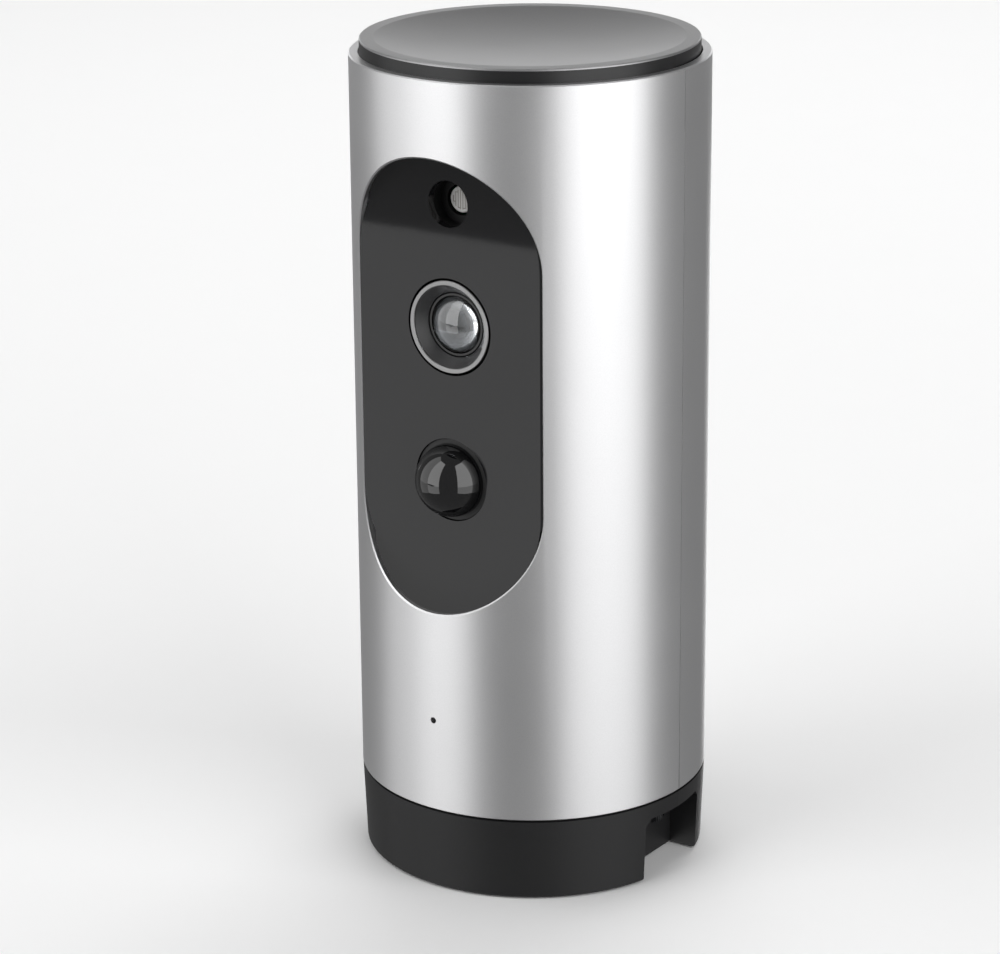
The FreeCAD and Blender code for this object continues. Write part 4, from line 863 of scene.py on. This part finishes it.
def floor_light(name, azimuth, pitch, power, away=1.3, side=1.0):
    """A softbox over the floor, which the object casts its soft shadow from but doesn't mirror."""
    a, e = radians(azimuth), radians(pitch)
    out = Vector((sin(a) * cos(e), -cos(a) * cos(e), sin(e)))
    light = hang(name, Vector((0, 0, EYE_LEVEL)) + out * away, out, side, side, power)
    light.visible_glossy = False
    return light


def flat_sheet(name, low, high, height):
    """A flat rectangle over the ground between two corners."""
    mesh = bmesh.new()
    corners = [(low[0], low[1]), (high[0], low[1]), (high[0], high[1]), (low[0], high[1])]
    mesh.faces.new([mesh.verts.new((x, y, height)) for x, y in corners])
    sheet = as_object(name, mesh)
    return sheet


def upright_wall(name, radius, low, high, sides=96):
    """A round wall that faces inwards."""
    mesh = bmesh.new()
    foot, head = (circle(mesh, radius, height, sides) for height in (low, high))
    for k in range(sides):
        after = (k + 1) % sides
        mesh.faces.new((foot[after], foot[k], head[k], head[after])).smooth = True
    wall = as_object(name, mesh)
    return wall


def lay_floor(studio):
    """The paper floor and the lit wall behind it, and a grey flag that only mirrors and glass see.

    These help the picture and aren't how a real room acts: the floor and the wall are out of the sight of
    mirrors, and the flag lies on the floor unseen, to darken what the front panel mirrors."""
    paper, shader, place = blank("Matt paper sweep")
    toned(paper, shader, place, studio.floor, 30, 0.004)
    put(shader, Roughness=0.9, Specular_IOR_Level=0.2)
    floor = flat_sheet("floor", (-FLOOR_HALF, -FLOOR_HALF), (FLOOR_HALF, FLOOR_HALF), 0)
    floor.data.materials.append(paper)
    floor.visible_glossy = False
    floor.visible_shadow = False
    lit, shader, place = blank("Lit paper backdrop")
    toned(lit, shader, place, studio.backdrop, 400, 0.004)
    put(shader, Roughness=0.9, Specular_IOR_Level=0.0, Emission_Color=(*studio.backdrop, 1),
        Emission_Strength=0.9)
    backdrop = upright_wall("backdrop", WALL_RADIUS, WALL_BOTTOM, WALL_TOP)
    backdrop.data.materials.append(lit)
    flag_cloth, shader, place = blank("Grey flag cloth")
    toned(flag_cloth, shader, place, linear("#8d8d8d"), 3, 0.05)
    put(shader, Roughness=1.0, Specular_IOR_Level=0.0)
    flag = flat_sheet("flag", FLAG_LOW, FLAG_HIGH, FLAG_HEIGHT)
    flag.data.materials.append(flag_cloth)
    for screen in (backdrop, flag):
        screen.visible_diffuse = False
        screen.visible_shadow = False
    backdrop.visible_glossy = False
    flag.visible_camera = False


def hang_lights(studio):
    """The softboxes that the sleeve mirrors, in a dimmer lower and a brighter upper part, and the room."""
    for part, lowest, highest, share in (("lower", -29, -8, 1.0), ("upper", -8, 62, 1.75)):
        softbox(f"left_softbox_side_{part}", azimuth=-62, spread=34, lowest=lowest, highest=highest,
                glow=studio.left_glow * share * 0.45)
        softbox(f"left_softbox_{part}", azimuth=-25.5, spread=39, lowest=lowest, highest=highest,
                glow=studio.left_glow * share)
        softbox(f"right_softbox_{part}", azimuth=81, spread=60, lowest=lowest, highest=highest,
                glow=studio.right_glow * share)
    softbox("back_screen", azimuth=216, spread=80, lowest=-4, highest=17, glow=studio.fill_glow)
    softbox("low_rim", azimuth=208, spread=26, lowest=-38, highest=-12, glow=studio.rim_glow)
    floor_light("floor_light", azimuth=200, pitch=55, power=studio.floor_power)
    floor_light("left_floor_light", azimuth=-60, pitch=55, power=studio.floor_power * 0.08)
    floor_light("front_floor_light", azimuth=20, pitch=55, power=studio.floor_power * 0.05)
    world = bpy.data.worlds.new("Studio room")
    world.use_nodes = True
    background = world.node_tree.nodes["Background"]
    background.inputs["Color"].default_value = rgba("#ffffff")
    background.inputs["Strength"].default_value = studio.room
    bpy.context.scene.world = world


def stand_camera(studio):
    """The camera, given by its place round the object and how it is turned from facing the axis."""
    scene = bpy.context.scene
    scene.view_settings.view_transform = "Standard"
    lens = bpy.data.cameras.new("camera_lens")
    lens.lens = studio.focal
    lens.sensor_width = 36
    lens.clip_start = 0.01
    camera = bpy.data.objects.new("viewing_camera", lens)
    scene.collection.objects.link(camera)
    spot = Vector((studio.distance * sin(studio.azimuth), -studio.distance * cos(studio.azimuth),
                   studio.height))
    camera.matrix_world = (Matrix.Translation(spot) @ Matrix.Rotation(studio.azimuth + studio.swing, 4, "Z")
                           @ Matrix.Rotation(pi / 2 - studio.pitch, 4, "X")
                           @ Matrix.Rotation(studio.roll, 4, "Z"))
    scene.camera = camera


class BATCAM_OT_studio(bpy.types.Operator):
    """Lay the floor, hang the lights and set up the camera"""

    bl_idname = "batcam.studio"
    bl_label = "Studio"

    def execute(self, context):
        studio = settings()[2]
        lay_floor(studio)
        hang_lights(studio)
        stand_camera(studio)
        return {"FINISHED"}


class BATCAM_PT_panel(bpy.types.Panel):
    """The settings and the operators, in the order they run"""

    bl_idname = "BATCAM_PT_panel"
    bl_label = "Battery Camera"
    bl_space_type = "VIEW_3D"
    bl_region_type = "UI"
    bl_category = "Battery Camera"

    def draw(self, context):
        for group in settings():
            for name in group.__annotations__:
                self.layout.prop(group, name)
        for operator in OPERATORS:
            self.layout.operator(operator.bl_idname)


GROUPS = (FinishSettings, DetailSettings, StudioSettings)
OPERATORS = (
    BATCAM_OT_sleeve, BATCAM_OT_top_button, BATCAM_OT_base, BATCAM_OT_panel, BATCAM_OT_lens,
    BATCAM_OT_motion_dome, BATCAM_OT_light_sensor, BATCAM_OT_power_port, BATCAM_OT_chassis,
    BATCAM_OT_batteries, BATCAM_OT_service_board, BATCAM_OT_main_board, BATCAM_OT_studio,
)


def register():
    """Registers the settings, the operators and the panel."""
    for item in (*GROUPS, *OPERATORS, BATCAM_PT_panel):
        bpy.utils.register_class(item)
    bpy.types.Scene.batcam_finish = PointerProperty(type=FinishSettings)
    bpy.types.Scene.batcam_detail = PointerProperty(type=DetailSettings)
    bpy.types.Scene.batcam_studio = PointerProperty(type=StudioSettings)


def unregister():
    """Removes them again."""
    del bpy.types.Scene.batcam_finish
    del bpy.types.Scene.batcam_detail
    del bpy.types.Scene.batcam_studio
    for item in reversed((*GROUPS, *OPERATORS, BATCAM_PT_panel)):
        bpy.utils.unregister_class(item)


def main():
    """Runs every operator."""
    register()
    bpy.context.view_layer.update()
    for operator in OPERATORS:
        group, name = operator.bl_idname.split(".")
        getattr(getattr(bpy.ops, group), name)()
    bpy.context.view_layer.update()


if __name__ == "__main__":
    main()
